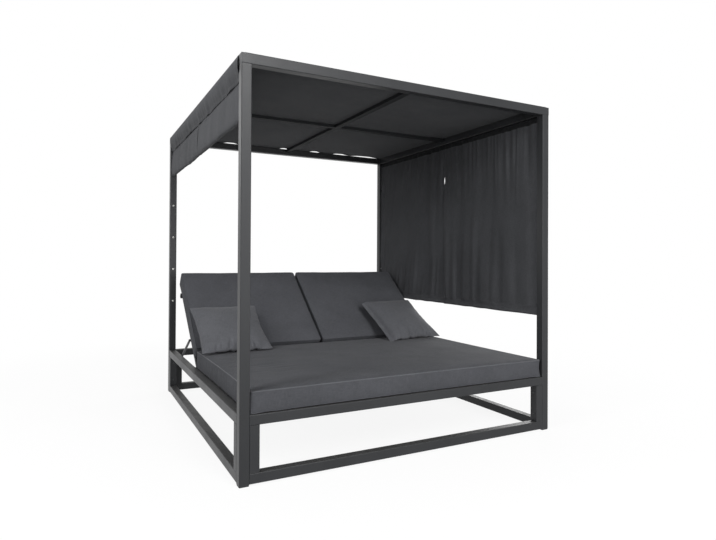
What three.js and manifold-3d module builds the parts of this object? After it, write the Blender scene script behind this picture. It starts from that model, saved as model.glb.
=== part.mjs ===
import * as THREE from 'three';
import { mergeVertices } from 'three/addons/utils/BufferGeometryUtils.js';
import Module from 'manifold-3d';

// Outdoor daybed with a fabric canopy, in millimetres.
// X runs along the front from left to right, Y from front to back, Z up.
// The origin is the middle of the footprint, on the ground.

// Outer frame
const frameWidth = 2000;
const frameDepth = 2100;
const frameHeight = 2050;
const tubeSize = 50;
const tubeWall = 2;
const tubeCorner = 3;

// Clearances shared by the whole build
const jointGap = 0.2;
const restGap = 0.3;
const runningGap = 0.3;
const overrun = 5;

// Base: feet, rails and deck
const glideHeight = 6;
const glideInset = 1;
const glidePlugDepth = 18;
const lowerRailRise = 8;
const deckTop = 335;
const slatThickness = 6;
const slatInset = 1;
const slatWidth = 90;
const slatCount = 7;
const runnerWidth = 20;
const runnerSetDown = 3;
const beamWidth = 50;

// Curtain rods and the holes that take their end pins
const rodHoleDrop = 244;
const rodHolePitch = 256;
const rodHoleCount = 5;
const rodHoleRadius = 7;
const rodRadius = 8;
const rodWall = 1.5;
const rodPlugLength = 8;
const pinNoseRadius = 3.8;
const pinCollarLength = 20;
const pinTravel = 10;

// Roof bars and cover
const roofBarWidth = 40;
const roofBarHeight = 20;
const roofBarDrop = 5;
const coverThickness = 2;
const coverSetback = 4;
const coverFold = 2;
const flapDepth = 118;
const flapSetback = 2;
const flapWave = 3;
const quadrantSag = 9;

// Backs: hinge, frame and stays
const hingeSetback = 800;
const hingeSink = 17;
const recline = THREE.MathUtils.degToRad(39.5);
const reclineStep = THREE.MathUtils.degToRad(10.5);
const backTubeWidth = 25;
const backTubeAbove = 17.5;
const backTubeBelow = 12.5;
const backTubeWall = 2;
const backTail = 15;
const backEndGap = 10;
const backSlatCount = 5;
const backSlatWidth = 90;
const backSlatThickness = 4;
const backFootTubeStart = 20;
const hingePinRadius = 6;
const hingePinReach = 12;
const hingeCollarRadius = 11;
const stayAttach = 263;
const stayRestGap = 121;
const stayFootSink = 20;
const stayHalfWidth = 7;
const stayThickness = 11.2;
const stayTubeRadius = 8;
const stayRoom = 16;
const rackClearance = 0.6;
const rackNotchDepth = 6;
const rackNotchWidth = 16;
const rackNotchCount = 4;
const rackLead = 20;
const rackRestDrop = 0.5;

// Cushions
const seatThickness = 112;
const seatCrown = 12;
const seatEdge = 24;
const seatSideGap = 2;
const seatSetback = 4;
const seatToHinge = 37;
const cushionGap = 0.5;
const drawIn = 7;
const backThickness = 115;
const backCrown = 9;
const backEdge = 26;
const backCushionLength = 789;
const backCushionSlide = 98;
const backCushionLow = -30;
const backCentreGap = 10;

// Scatter pillows
const pillowWidth = 480;
const pillowHeight = 500;
const pillowThickness = 150;
const pillowSag = 10;
const pillowDrawIn = 20;
const pillowLean = THREE.MathUtils.degToRad(31.5);
const pillowEdgeY = -25;
const pillowGap = 0.45;
const pillowEdgeThickness = 3;
const leftPillowX = -718;
const rightPillowX = 690;
const rightPillowTurn = THREE.MathUtils.degToRad(4);

// Side curtains
const curtainThickness = 3;
const panelGap = 4;
const hemWall = 2.6;
const gatherDepth = 2.5;
const foldDepth = 8;
const bundleWidth = 36;
const bundleNeck = 10;
const bundleShoulder = 60;
const bundleUnderRod = 3;

// Places that follow from the sizes above
const halfWidth = frameWidth / 2;
const halfDepth = frameDepth / 2;
const innerX = halfWidth - tubeSize;
const innerY = halfDepth - tubeSize;
const railX = halfWidth - tubeSize / 2;
const railY = halfDepth - tubeSize / 2;
const lowerRailTop = lowerRailRise + tubeSize;
const upperRailBottom = deckTop - tubeSize;
const topRailBottom = frameHeight - tubeSize;
const beamTop = deckTop - slatThickness;
const hingeY = halfDepth - hingeSetback;
const hingeZ = deckTop - hingeSink;
const seatEndY = hingeY - seatToHinge;
const backFrameLength = innerY - backEndGap - hingeY;
const stayLength = backFrameLength - stayAttach - stayRestGap;
const stayFootZ = deckTop - stayFootSink;
const beamHalf = beamWidth / 2;
const roofBarTop = frameHeight - roofBarDrop;
const roofBarBottom = roofBarTop - roofBarHeight;
const rodTopZ = topRailBottom - rodHoleDrop;
const rodHoleFirst = rodTopZ - rodHolePitch * (rodHoleCount - 1);
const rodEnd = innerY - jointGap;
const seatBottom = deckTop + cushionGap;
const seatTop = seatBottom + seatThickness + seatCrown;
const stayDrop = Math.asin((hingeZ + stayAttach * Math.sin(recline) - stayFootZ) / stayLength);
const stayShare = stayDrop / recline;

const cornerSteps = 1;
const roundSteps = 16;
const holeSteps = 12;
const legSteps = 3;

const wasm = await Module();
wasm.setup();

// Finishes
function finish(color, roughness, metalness) {
  return new THREE.MeshStandardMaterial({ color, roughness, metalness });
}

const coatedAluminium = finish(0x45484b, 0.5, 0.3);
const castAluminium = finish(0x3b3e41, 0.55, 0.3);
const steel = finish(0x9a9da0, 0.35, 0.9);
const blackPlastic = finish(0x1c1d1e, 0.6, 0);
const seatFabric = finish(0x55575b, 0.9, 0);
const pillowFabric = finish(0x595b5f, 0.9, 0);
const canopyFabric = finish(0x3c3e41, 0.9, 0);

// Closed mesh to boolean solid and back
function toSolid(geometry) {
  const bare = geometry.index ? geometry.toNonIndexed() : geometry.clone();
  bare.deleteAttribute('normal');
  bare.deleteAttribute('uv');
  const merged = mergeVertices(bare, 1e-4);
  const mesh = new wasm.Mesh({
    numProp: 3,
    vertProperties: new Float32Array(merged.attributes.position.array),
    triVerts: new Uint32Array(merged.index.array),
  });
  return new wasm.Manifold(mesh);
}

function toGeometry(solid) {
  const mesh = solid.getMesh();
  const geometry = new THREE.BufferGeometry();
  const positions = new Float32Array(mesh.vertProperties);
  geometry.setAttribute('position', new THREE.BufferAttribute(positions, mesh.numProp));
  geometry.setIndex(new THREE.BufferAttribute(new Uint32Array(mesh.triVerts), 1));
  return geometry;
}

function joined(geometries) {
  const solids = geometries.map(toSolid);
  return toGeometry(solids.reduce((whole, next) => whole.add(next)));
}

function cut(geometry, tools) {
  const solid = tools.map(toSolid).reduce((whole, tool) => whole.subtract(tool), toSolid(geometry));
  return toGeometry(solid);
}

// A box between two corners
function boxBetween(low, high) {
  const size = high.map((value, axis) => value - low[axis]);
  const middle = high.map((value, axis) => (value + low[axis]) / 2);
  return new THREE.BoxGeometry(...size).translate(...middle);
}

// A round bar along one axis, centred on a point
function roundBar(axis, radius, length, centre, steps) {
  const bar = new THREE.CylinderGeometry(radius, radius, length, steps);
  if (axis === 'x') bar.rotateZ(Math.PI / 2);
  if (axis === 'z') bar.rotateX(Math.PI / 2);
  return bar.translate(...centre);
}

function roundedRectangle(width, height, radius, PathClass) {
  const path = new PathClass();
  const x = width / 2 - radius;
  const y = height / 2 - radius;
  path.moveTo(-x, -y - radius);
  path.lineTo(x, -y - radius);
  path.absarc(x, -y, radius, -Math.PI / 2, 0, false);
  path.absarc(x, y, radius, 0, Math.PI / 2, false);
  path.absarc(-x, y, radius, Math.PI / 2, Math.PI, false);
  path.absarc(-x, -y, radius, Math.PI, Math.PI * 1.5, false);
  return path;
}

// Stands an extrusion made along Z on the axis that it follows, starting at a place on that axis
function alongAxis(geometry, axis, start, across, up) {
  if (axis === 'x') return geometry.rotateY(Math.PI / 2).translate(start, across, up);
  if (axis === 'y') return geometry.rotateX(-Math.PI / 2).translate(across, start, up);
  return geometry.translate(across, up, start);
}

// Solid bar of rounded section; width and height are its sides across the axis
function roundedBar(axis, start, end, across, up, width, height, radius) {
  const shape = roundedRectangle(width, height, radius, THREE.Shape);
  const settings = { depth: end - start, bevelEnabled: false, curveSegments: cornerSteps };
  return alongAxis(new THREE.ExtrudeGeometry(shape, settings), axis, start, across, up);
}

// Open square tube of the frame's stock size
function frameTube(axis, start, end, across, up) {
  const shape = roundedRectangle(tubeSize, tubeSize, tubeCorner, THREE.Shape);
  const bore = tubeSize - 2 * tubeWall;
  shape.holes.push(roundedRectangle(bore, bore, tubeCorner - tubeWall, THREE.Path));
  const settings = { depth: end - start, bevelEnabled: false, curveSegments: cornerSteps };
  return alongAxis(new THREE.ExtrudeGeometry(shape, settings), axis, start, across, up);
}

// Open tube of plain rectangular section
function plainTube(axis, start, end, across, up, width, height, wall) {
  const shape = new THREE.Shape();
  const hole = new THREE.Path();
  const corners = [[-1, -1], [1, -1], [1, 1], [-1, 1]];
  shape.setFromPoints(corners.map(([x, y]) => new THREE.Vector2((x * width) / 2, (y * height) / 2)));
  const inner = ([x, y]) => new THREE.Vector2(x * (width / 2 - wall), y * (height / 2 - wall));
  hole.setFromPoints(corners.map(inner));
  shape.holes.push(hole);
  const settings = { depth: end - start, bevelEnabled: false };
  return alongAxis(new THREE.ExtrudeGeometry(shape, settings), axis, start, across, up);
}

// Turned piece: radius and distance pairs, revolved and laid along an axis
function turned(axis, points, start, across, up, steps = roundSteps) {
  const profile = points.map(([radius, along]) => new THREE.Vector2(radius, along));
  const geometry = new THREE.LatheGeometry(profile, steps);
  if (axis === 'x') return geometry.rotateZ(-Math.PI / 2).translate(start, across, up);
  return geometry.translate(across, start, up);
}

// The same piece on the other side of the middle plane when side is positive
function onSide(geometry, side) {
  if (side < 0) return geometry;
  const copy = geometry.index ? geometry.toNonIndexed() : geometry.clone();
  copy.deleteAttribute('normal');
  copy.deleteAttribute('uv');
  const position = copy.attributes.position;
  for (let first = 0; first < position.count; first += 3) {
    const corners = [0, 2, 1].map((offset) => new THREE.Vector3().fromBufferAttribute(position, first + offset));
    corners.forEach((corner, offset) => position.setXYZ(first + offset, -corner.x, corner.y, corner.z));
  }
  return copy;
}

// Closed skin over a grid: a face at each side of it and a rim round its edge
function gridSolid(columns, rows, frontPoint, backPoint) {
  const positions = [];
  for (const pointAt of [frontPoint, backPoint]) {
    for (let row = 0; row <= rows; row += 1) {
      for (let column = 0; column <= columns; column += 1) {
        positions.push(...pointAt(column / columns, row / rows, column, row));
      }
    }
  }
  const stride = columns + 1;
  const layer = stride * (rows + 1);
  const index = [];
  const quad = (a, b, c, d) => index.push(a, b, c, a, c, d);
  for (let row = 0; row < rows; row += 1) {
    for (let column = 0; column < columns; column += 1) {
      const a = row * stride + column;
      quad(a, a + 1, a + stride + 1, a + stride);
      quad(layer + a, layer + a + stride, layer + a + stride + 1, layer + a + 1);
    }
  }
  for (let column = 0; column < columns; column += 1) {
    const top = rows * stride + column;
    quad(column, layer + column, layer + column + 1, column + 1);
    quad(top, top + 1, layer + top + 1, layer + top);
  }
  for (let row = 0; row < rows; row += 1) {
    const a = row * stride;
    const b = a + columns;
    quad(a, a + stride, layer + a + stride, layer + a);
    quad(b, layer + b, layer + b + stride, b + stride);
  }
  const geometry = new THREE.BufferGeometry();
  geometry.setAttribute('position', new THREE.Float32BufferAttribute(positions, 3));
  geometry.setIndex(index);
  return geometry;
}

const root = new THREE.Group();

function addMesh(parent, name, geometry, material) {
  const mesh = new THREE.Mesh(geometry, material);
  mesh.name = name;
  parent.add(mesh);
  return mesh;
}

const sideName = (side) => (side < 0 ? 'left' : 'right');
const endName = (end) => (end < 0 ? 'front' : 'rear');

// Corner posts, each drilled on the face that looks along the side
function post(side, end) {
  const tube = frameTube('z', glideHeight, topRailBottom - jointGap, side * railX, end * railY);
  const holes = [];
  for (let place = 0; place < rodHoleCount; place += 1) {
    const centre = [side * railX, end * (innerY + tubeWall / 2), rodHoleFirst + rodHolePitch * place];
    holes.push(roundBar('y', rodHoleRadius, tubeWall + overrun, centre, holeSteps));
  }
  return cut(tube, holes);
}

function glide(side, end) {
  const foot = tubeSize - 2 * glideInset;
  const plug = tubeSize - 2 * tubeWall - 2 * runningGap;
  const pad = roundedBar('z', 0, glideHeight - jointGap, side * railX, end * railY, foot, foot, tubeCorner);
  const plugTop = glideHeight + glidePlugDepth;
  const stem = roundedBar('z', 0, plugTop, side * railX, end * railY, plug, plug, tubeCorner);
  return joined([pad, stem]);
}

for (const side of [-1, 1]) {
  for (const end of [-1, 1]) {
    addMesh(root, `post_${endName(end)}_${sideName(side)}`, post(side, end), coatedAluminium);
    addMesh(root, `glide_${endName(end)}_${sideName(side)}`, glide(side, end), blackPlastic);
  }
}

// Base loops: an upper rail, a lower rail and two uprights between each pair of posts
const lowerRailZ = lowerRailRise + tubeSize / 2;
const upperRailZ = deckTop - tubeSize / 2;
const uprightStart = lowerRailTop + jointGap;
const uprightEnd = upperRailBottom - jointGap;

for (const end of [-1, 1]) {
  const reach = innerX - jointGap;
  const y = end * railY;
  addMesh(root, `${endName(end)}_upper_rail`, frameTube('x', -reach, reach, y, upperRailZ), coatedAluminium);
  addMesh(root, `${endName(end)}_lower_rail`, frameTube('x', -reach, reach, y, lowerRailZ), coatedAluminium);
  for (const side of [-1, 1]) {
    const x = side * (reach - tubeSize / 2);
    const upright = frameTube('z', uprightStart, uprightEnd, x, y);
    addMesh(root, `${endName(end)}_upright_${sideName(side)}`, upright, coatedAluminium);
  }
}

// The upper side rails are bored inside for the hinge pins of the backs
function upperSideRail(side) {
  const reach = innerY - jointGap;
  const rail = frameTube('y', -reach, reach, side * railX, upperRailZ);
  const centre = [side * (innerX + tubeWall / 2), hingeY, hingeZ];
  const hole = roundBar('x', hingePinRadius + runningGap, tubeWall + overrun, centre, roundSteps);
  return cut(rail, [hole]);
}

for (const side of [-1, 1]) {
  const reach = innerY - jointGap;
  const x = side * railX;
  addMesh(root, `${sideName(side)}_upper_rail`, upperSideRail(side), coatedAluminium);
  addMesh(root, `${sideName(side)}_lower_rail`, frameTube('y', -reach, reach, x, lowerRailZ), coatedAluminium);
  for (const end of [-1, 1]) {
    const y = end * (reach - tubeSize / 2);
    const upright = frameTube('z', uprightStart, uprightEnd, x, y);
    addMesh(root, `${sideName(side)}_upright_${endName(end)}`, upright, coatedAluminium);
  }
}

// Top frame: the front and rear rails run over the posts and have closed ends
function closedTopRail(end) {
  const z = frameHeight - tubeSize / 2;
  const y = end * railY;
  const outer = roundedBar('x', -halfWidth, halfWidth, y, z, tubeSize, tubeSize, tubeCorner);
  const bore = tubeSize - 2 * tubeWall;
  const reach = halfWidth - tubeWall;
  const inner = roundedBar('x', -reach, reach, y, z, bore, bore, tubeCorner - tubeWall);
  const boltHoles = [-1, 1].map((side) => {
    const centre = [side * railX, y, topRailBottom + tubeWall / 2];
    return roundBar('z', rodHoleRadius, tubeWall + overrun, centre, holeSteps);
  });
  return cut(outer, [inner, ...boltHoles]);
}

for (const end of [-1, 1]) addMesh(root, `top_rail_${endName(end)}`, closedTopRail(end), coatedAluminium);
for (const side of [-1, 1]) {
  const reach = innerY - jointGap;
  const rail = frameTube('y', -reach, reach, side * railX, frameHeight - tubeSize / 2);
  addMesh(root, `top_rail_${sideName(side)}`, rail, coatedAluminium);
}

// Roof bars, halved into each other where they cross
const roofBarZ = roofBarTop - roofBarHeight / 2;
const lapHalf = roofBarWidth / 2 + jointGap;

function roofBar(axis) {
  const reach = (axis === 'y' ? innerY : innerX) - jointGap;
  const width = axis === 'y' ? roofBarWidth : roofBarHeight;
  const height = axis === 'y' ? roofBarHeight : roofBarWidth;
  const bar = plainTube(axis, -reach, reach, 0, roofBarZ, width, height, tubeWall);
  const near = roofBarZ + (axis === 'y' ? jointGap : -jointGap) / 2;
  const far = axis === 'y' ? roofBarBottom - overrun : roofBarTop + overrun;
  const low = [-lapHalf, -lapHalf, Math.min(near, far)];
  const high = [lapHalf, lapHalf, Math.max(near, far)];
  return cut(bar, [boxBetween(low, high)]);
}

addMesh(root, 'roof_bar_long', roofBar('y'), coatedAluminium);
addMesh(root, 'roof_bar_cross', roofBar('x'), coatedAluminium);

// Roof cover: one cloth over the top frame, with a flap down each side between the posts
const coverX = halfWidth + restGap + coverThickness / 2;
const coverZ = frameHeight + restGap + coverThickness / 2;
const barHalf = roofBarWidth / 2 + overrun;
const barSag = roofBarDrop;
const coverSide = halfWidth - coverSetback;
const fieldShares = [0.75, 0.5, 0.25];
const flapMiddleShare = 0.55;
const flapDrops = [-flapDepth, -flapDepth * flapMiddleShare, -coverFold];
const topStops = [coverX - coverFold, coverSide, innerX, ...fieldShares.map((share) => innerX * share), barHalf];
const leftStops = [...flapDrops.map((drop) => [-coverX, drop]), ...topStops.map((x) => [-x, 0])];
const rightStops = leftStops.map(([x, drop]) => [-x, drop]).reverse();
const acrossStops = [...leftStops, ...rightStops];
const flapColumns = flapDrops.length;
const flapWaveTurn = 2.4;
const sagSteepness = 4;
const coverEdge = halfDepth - coverSetback;
const frontStops = [coverEdge, innerY, ...fieldShares.map((share) => innerY * share), barHalf];
const lengthStops = [...frontStops.map((y) => -y), ...frontStops.reverse()];

function coverSagAt(x, y) {
  if (Math.abs(x) >= innerX || Math.abs(y) >= innerY) return 0;
  const lift = Math.min(1, sagSteepness * Math.min(1 - Math.abs(x) / innerX, 1 - Math.abs(y) / innerY));
  if (Math.abs(x) <= barHalf || Math.abs(y) <= barHalf) return barSag * lift;
  const wave = Math.abs(Math.sin((Math.PI * x) / innerX) * Math.sin((Math.PI * y) / innerY));
  return barSag * lift + quadrantSag * wave;
}

function roofCover() {
  const columns = acrossStops.length - 1;
  const rows = lengthStops.length - 1;
  const pointAt = (offset) => (u, v, column, row) => {
    const [x, drop] = acrossStops[column];
    const onFlap = column < flapColumns || column > columns - flapColumns;
    const underPost = column <= flapColumns || column >= columns - flapColumns;
    const y = lengthStops[row] * (underPost ? (innerY - flapSetback) / coverEdge : 1);
    if (onFlap) {
      const wave = flapWave * (Math.sin(row * flapWaveTurn) + 1) * (-drop / flapDepth);
      const out = coverX + wave + offset;
      return [Math.sign(x) * out, y, coverZ + drop];
    }
    return [x, y, coverZ - coverSagAt(x, y) + offset];
  };
  return gridSolid(columns, rows, pointAt(coverThickness / 2), pointAt(-coverThickness / 2));
}

addMesh(root, 'roof_cover', roofCover(), canopyFabric);

// Curtain rods with a sprung pin in each end, and the curtains that they hold down
function curtainRod(side, z) {
  const bore = rodRadius - rodWall;
  const tube = roundBar('y', rodRadius, 2 * rodEnd, [side * railX, 0, z], roundSteps);
  const hollow = roundBar('y', bore, 2 * (rodEnd - rodPlugLength), [side * railX, 0, z], roundSteps);
  const guide = roundBar('y', pinNoseRadius + runningGap, 2 * rodEnd + overrun, [side * railX, 0, z], holeSteps);
  return cut(tube, [hollow, guide]);
}

function rodPin(side, end, z) {
  const collarRadius = rodRadius - rodWall - runningGap;
  const noseEnd = rodEnd - runningGap;
  const collarEnd = rodEnd - rodPlugLength - pinTravel - runningGap;
  const collarStart = collarEnd - pinCollarLength;
  const profile = [
    [0, 0], [collarRadius, 0], [collarRadius, collarEnd - collarStart],
    [pinNoseRadius, collarEnd - collarStart], [pinNoseRadius, noseEnd - collarStart], [0, noseEnd - collarStart],
  ];
  const pin = turned('y', profile, collarStart, 0, 0, holeSteps);
  if (end < 0) pin.rotateZ(Math.PI);
  return pin.translate(side * railX, 0, z);
}

const rodHeights = { left: rodTopZ, right: rodHoleFirst };
for (const side of [-1, 1]) {
  const z = rodHeights[sideName(side)];
  addMesh(root, `curtain_rod_${sideName(side)}`, curtainRod(side, z), coatedAluminium);
  for (const end of [-1, 1]) {
    addMesh(root, `rod_pin_${sideName(side)}_${endName(end)}`, rodPin(side, end, z), steel);
  }
}

const hemRadius = rodRadius + restGap + hemWall;
const panelFar = innerY - flapSetback;
const panelNear = panelGap / 2;
const curtainTop = topRailBottom - restGap;

// Sleeve of cloth round a rod
function hemSleeve(side, end, z, radius) {
  const length = panelFar - panelNear;
  const middle = (end * (panelFar + panelNear)) / 2;
  const boreRadius = (rodRadius + restGap) / Math.cos(Math.PI / roundSteps);
  const centre = [side * railX, middle, z];
  const outer = roundBar('y', radius, length, centre, roundSteps);
  const bore = roundBar('y', boreRadius, length + overrun, centre, roundSteps);
  return { outer, bore };
}

// Lowered curtain: gathers at the top, broad folds lower down
const curtainColumns = 20;
const curtainRows = 7;
const gatherCount = 9;
const foldCount = 4.5;
const fanShare = 0.35;
const hemShare = 0.8;

function loweredCurtain(side, end) {
  const { outer, bore } = hemSleeve(side, end, rodHoleFirst, hemRadius);
  const bottom = rodHoleFirst + rodRadius + restGap;
  const pointAt = (offset) => (u, v) => {
    const y = end * (panelNear + (panelFar - panelNear) * u);
    const z = bottom + (curtainTop - bottom) * v;
    const fan = end > 0 ? fanShare * (1 - v) * u : 0;
    const gathers = gatherDepth * v * Math.sin(2 * Math.PI * gatherCount * u);
    const hang = Math.sin(Math.PI * Math.min(1, (1 - v) / hemShare)) * (1 - v);
    const folds = foldDepth * hang * Math.sin(2 * Math.PI * foldCount * (u + fan));
    return [side * railX + gathers + folds + offset * end, y, z];
  };
  const half = curtainThickness / 2;
  const sheet = gridSolid(curtainColumns, curtainRows, pointAt(half), pointAt(-half));
  return toGeometry(toSolid(sheet).add(toSolid(outer)).subtract(toSolid(bore)));
}

// Raised curtain: the cloth is folded up between the rail and the rod
function raisedCurtain(side, end) {
  const { bore } = hemSleeve(side, end, rodTopZ, hemRadius);
  const bottom = rodTopZ - rodRadius - bundleUnderRod;
  const shape = new THREE.Shape();
  const half = bundleWidth / 2;
  const neck = bundleNeck / 2;
  const shoulder = curtainTop - bundleShoulder;
  shape.moveTo(-neck, curtainTop);
  shape.bezierCurveTo(-neck, shoulder, -half, shoulder, -half, rodTopZ + half);
  shape.bezierCurveTo(-half, bottom + bundleNeck, -half / 2, bottom, 0, bottom);
  shape.bezierCurveTo(half / 2, bottom, half, bottom + bundleNeck, half, rodTopZ + half);
  shape.bezierCurveTo(half, shoulder, neck, shoulder, neck, curtainTop);
  const settings = { depth: panelFar - panelNear, bevelEnabled: false, curveSegments: 6 };
  const bundle = new THREE.ExtrudeGeometry(shape, settings).rotateX(Math.PI / 2);
  const rear = end < 0 ? -panelNear : panelFar;
  return cut(bundle.translate(side * railX, rear, 0), [bore]);
}

for (const end of [-1, 1]) {
  addMesh(root, `curtain_left_${endName(end)}`, raisedCurtain(-1, end), canopyFabric);
  addMesh(root, `curtain_right_${endName(end)}`, loweredCurtain(1, end), canopyFabric);
}

// Seat deck: crosswise slats on two runners, over a beam down the middle
function centreBeam() {
  const reach = innerY - jointGap;
  const height = beamTop - upperRailBottom;
  const z = (beamTop + upperRailBottom) / 2;
  const beam = plainTube('y', -reach, reach, 0, z, beamWidth, height, tubeWall);
  const bore = roundBar('x', hingePinRadius + runningGap, beamWidth + overrun, [0, hingeY, hingeZ], roundSteps);
  return cut(beam, [bore]);
}

const deckRear = seatEndY;
const deckFront = -innerY + jointGap;

function slatDeck() {
  const reach = innerX - jointGap;
  const pieces = [];
  const pitch = (deckRear - deckFront - slatWidth) / (slatCount - 1);
  for (let place = 0; place < slatCount; place += 1) {
    const front = deckFront + pitch * place;
    const end = reach - slatInset;
    pieces.push(boxBetween([-end, front, beamTop + jointGap], [end, front + slatWidth, deckTop]));
  }
  for (const side of [-1, 1]) {
    const near = side * (reach - runnerWidth);
    const far = side * reach;
    const top = deckTop - runnerSetDown;
    pieces.push(boxBetween(
      [Math.min(near, far), deckFront + slatInset, upperRailBottom],
      [Math.max(near, far), deckRear - slatInset, top],
    ));
  }
  return joined(pieces);
}

addMesh(root, 'centre_beam', centreBeam(), coatedAluminium);
addMesh(root, 'seat_slat_deck', slatDeck(), coatedAluminium);

// Rounded places along one side of a cushion, close together near its edges
const wideShares = [0.72, 0.4];
const roundingShare = 0.3;
function stopsAlong(half, radius, middleShares) {
  const inner = half - radius;
  const edge = [half, half - radius * roundingShare, inner];
  const positive = [...edge, ...middleShares.map((share) => inner * share)];
  return [...positive.map((value) => -value), 0, ...positive.reverse()];
}

// Rise of a crowned top at a place given in shares of the half sizes
function crownAt(crown, u, v) {
  return crown * (1 - u ** 4) * (1 - v ** 4);
}

// Cushion about the origin: rounded edges, a crowned top and sides drawn in between the corners
function cushion(width, depth, thickness, radius, crown) {
  const stops = [
    stopsAlong(width / 2, radius, wideShares),
    stopsAlong(depth / 2, radius, wideShares),
    stopsAlong(thickness / 2, radius, []),
  ];
  const halves = [width / 2, depth / 2, thickness / 2];
  const place = (raw) => {
    const limit = (value, most) => Math.max(-most, Math.min(most, value));
    const core = raw.map((value, axis) => limit(value, halves[axis] - radius));
    const away = new THREE.Vector3(...raw.map((value, axis) => value - core[axis]));
    if (away.length() > 0) away.setLength(Math.max(...away.toArray().map(Math.abs)));
    const [u, v] = [raw[0] / halves[0], raw[1] / halves[1]];
    const point = [core[0] + away.x, core[1] + away.y, core[2] + away.z];
    point[0] *= 1 - (drawIn / halves[0]) * Math.max(0, 1 - v * v);
    point[1] *= 1 - (drawIn / halves[1]) * Math.max(0, 1 - u * u);
    if (raw[2] > 0) point[2] += crownAt(crown, u, v) * (raw[2] / halves[2]);
    return point;
  };
  const positions = [];
  const index = [];
  const face = (fixed, sign) => {
    const [a, b] = [0, 1, 2].filter((axis) => axis !== fixed);
    const [columns, rows] = [stops[a].length, stops[b].length];
    const base = positions.length / 3;
    for (const second of stops[b]) {
      for (const first of stops[a]) {
        const raw = [0, 0, 0];
        raw[a] = first;
        raw[b] = second;
        raw[fixed] = sign * halves[fixed];
        positions.push(...place(raw));
      }
    }
    const outward = (fixed === 1 ? -sign : sign) > 0;
    for (let row = 0; row + 1 < rows; row += 1) {
      for (let column = 0; column + 1 < columns; column += 1) {
        const p = base + row * columns + column;
        const [q, r, s] = [p + 1, p + columns + 1, p + columns];
        if (outward) index.push(p, q, r, p, r, s);
        else index.push(p, r, q, p, s, r);
      }
    }
  };
  for (const axis of [0, 1, 2]) {
    face(axis, 1);
    face(axis, -1);
  }
  const geometry = new THREE.BufferGeometry();
  geometry.setAttribute('position', new THREE.Float32BufferAttribute(positions, 3));
  geometry.setIndex(index);
  return mergeVertices(geometry, 1e-3);
}

const seatFront = -halfDepth + seatSetback;
const seatDepth = seatEndY - seatFront;
const seatMiddleY = seatFront + seatDepth / 2;
const seatCushion = cushion(2 * (innerX - seatSideGap), seatDepth, seatThickness, seatEdge, seatCrown);
seatCushion.translate(0, seatMiddleY, seatBottom + seatThickness / 2);
addMesh(root, 'seat_cushion', seatCushion, seatFabric);

// Backs. Each is built flat along Y from its hinge, then turned up by the recline.
// Its bay lies between the side rail and the centre beam.
const bayOuter = -innerX;
const bayInner = -beamHalf;
const frameOuter = bayOuter + stayRoom;
const frameInner = bayInner - stayRoom;

function backFrame() {
  const low = -backTubeBelow;
  const high = backTubeAbove;
  const wall = backTubeWall;
  const footEnd = backFootTubeStart + backTubeWidth;
  const headStart = backFrameLength - backTubeWidth;
  const outerTubeEnd = frameOuter + backTubeWidth;
  const innerTubeStart = frameInner - backTubeWidth;
  const earOuter = bayOuter + jointGap + rackClearance;
  const earInner = bayInner - jointGap - rackClearance;
  const solids = [
    boxBetween([frameOuter, -backTail, low], [outerTubeEnd, backFrameLength, high]),
    boxBetween([innerTubeStart, -backTail, low], [frameInner, backFrameLength, high]),
    boxBetween([frameOuter, backFootTubeStart, low], [frameInner, footEnd, high]),
    boxBetween([earOuter, headStart, low], [earInner, backFrameLength, high]),
  ];
  const free = headStart - footEnd - backSlatCount * backSlatWidth;
  for (let place = 0; place < backSlatCount; place += 1) {
    const start = footEnd + (free * (place + 1)) / (backSlatCount + 1) + backSlatWidth * place;
    solids.push(boxBetween(
      [outerTubeEnd - wall / 2, start, high - backSlatThickness],
      [innerTubeStart + wall / 2, start + backSlatWidth, high],
    ));
  }
  const hollow = (x0, y0, x1, y1) => boxBetween([x0, y0, low + wall], [x1, y1, high - wall]);
  const bores = [
    hollow(frameOuter + wall, -backTail - overrun, outerTubeEnd - wall, headStart - wall),
    hollow(innerTubeStart + wall, -backTail - overrun, frameInner - wall, headStart - wall),
    hollow(outerTubeEnd - 2 * wall, backFootTubeStart + wall, innerTubeStart + 2 * wall, footEnd - wall),
    hollow(earOuter - overrun, headStart + wall, earInner + overrun, backFrameLength - wall),
  ];
  const middle = (frameOuter + frameInner) / 2;
  const across = frameInner - frameOuter + overrun;
  const holes = [
    roundBar('x', hingePinRadius + runningGap, across, [middle, 0, 0], roundSteps),
    roundBar('x', stayTubeRadius + runningGap, across, [middle, stayAttach, 0], roundSteps),
  ];
  return cut(joined(solids), [...bores, ...holes]);
}

// Stay: a cross tube that turns in the frame, with a leg outside each side tube
function backStay() {
  const outerLeg = bayOuter + jointGap + restGap;
  const innerLeg = bayInner - jointGap - restGap - stayThickness;
  const leg = (start) => {
    const outline = new THREE.Shape();
    outline.absarc(0, 0, stayHalfWidth, Math.PI / 2, Math.PI * 1.5, false);
    outline.absarc(stayLength, 0, stayHalfWidth, -Math.PI / 2, Math.PI / 2, false);
    const settings = { depth: stayThickness, bevelEnabled: false, curveSegments: legSteps };
    const bar = new THREE.ExtrudeGeometry(outline, settings);
    return bar.rotateX(Math.PI / 2).rotateZ(Math.PI / 2).translate(start, 0, 0);
  };
  const tubeLength = innerLeg + stayThickness - outerLeg;
  const middle = outerLeg + tubeLength / 2;
  const tube = roundBar('x', stayTubeRadius, tubeLength, [middle, 0, 0], roundSteps);
  const bore = roundBar('x', stayTubeRadius - backTubeWall, tubeLength + overrun, [middle, 0, 0], roundSteps);
  return cut(joined([tube, leg(outerLeg), leg(innerLeg)]), [bore]);
}

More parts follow.
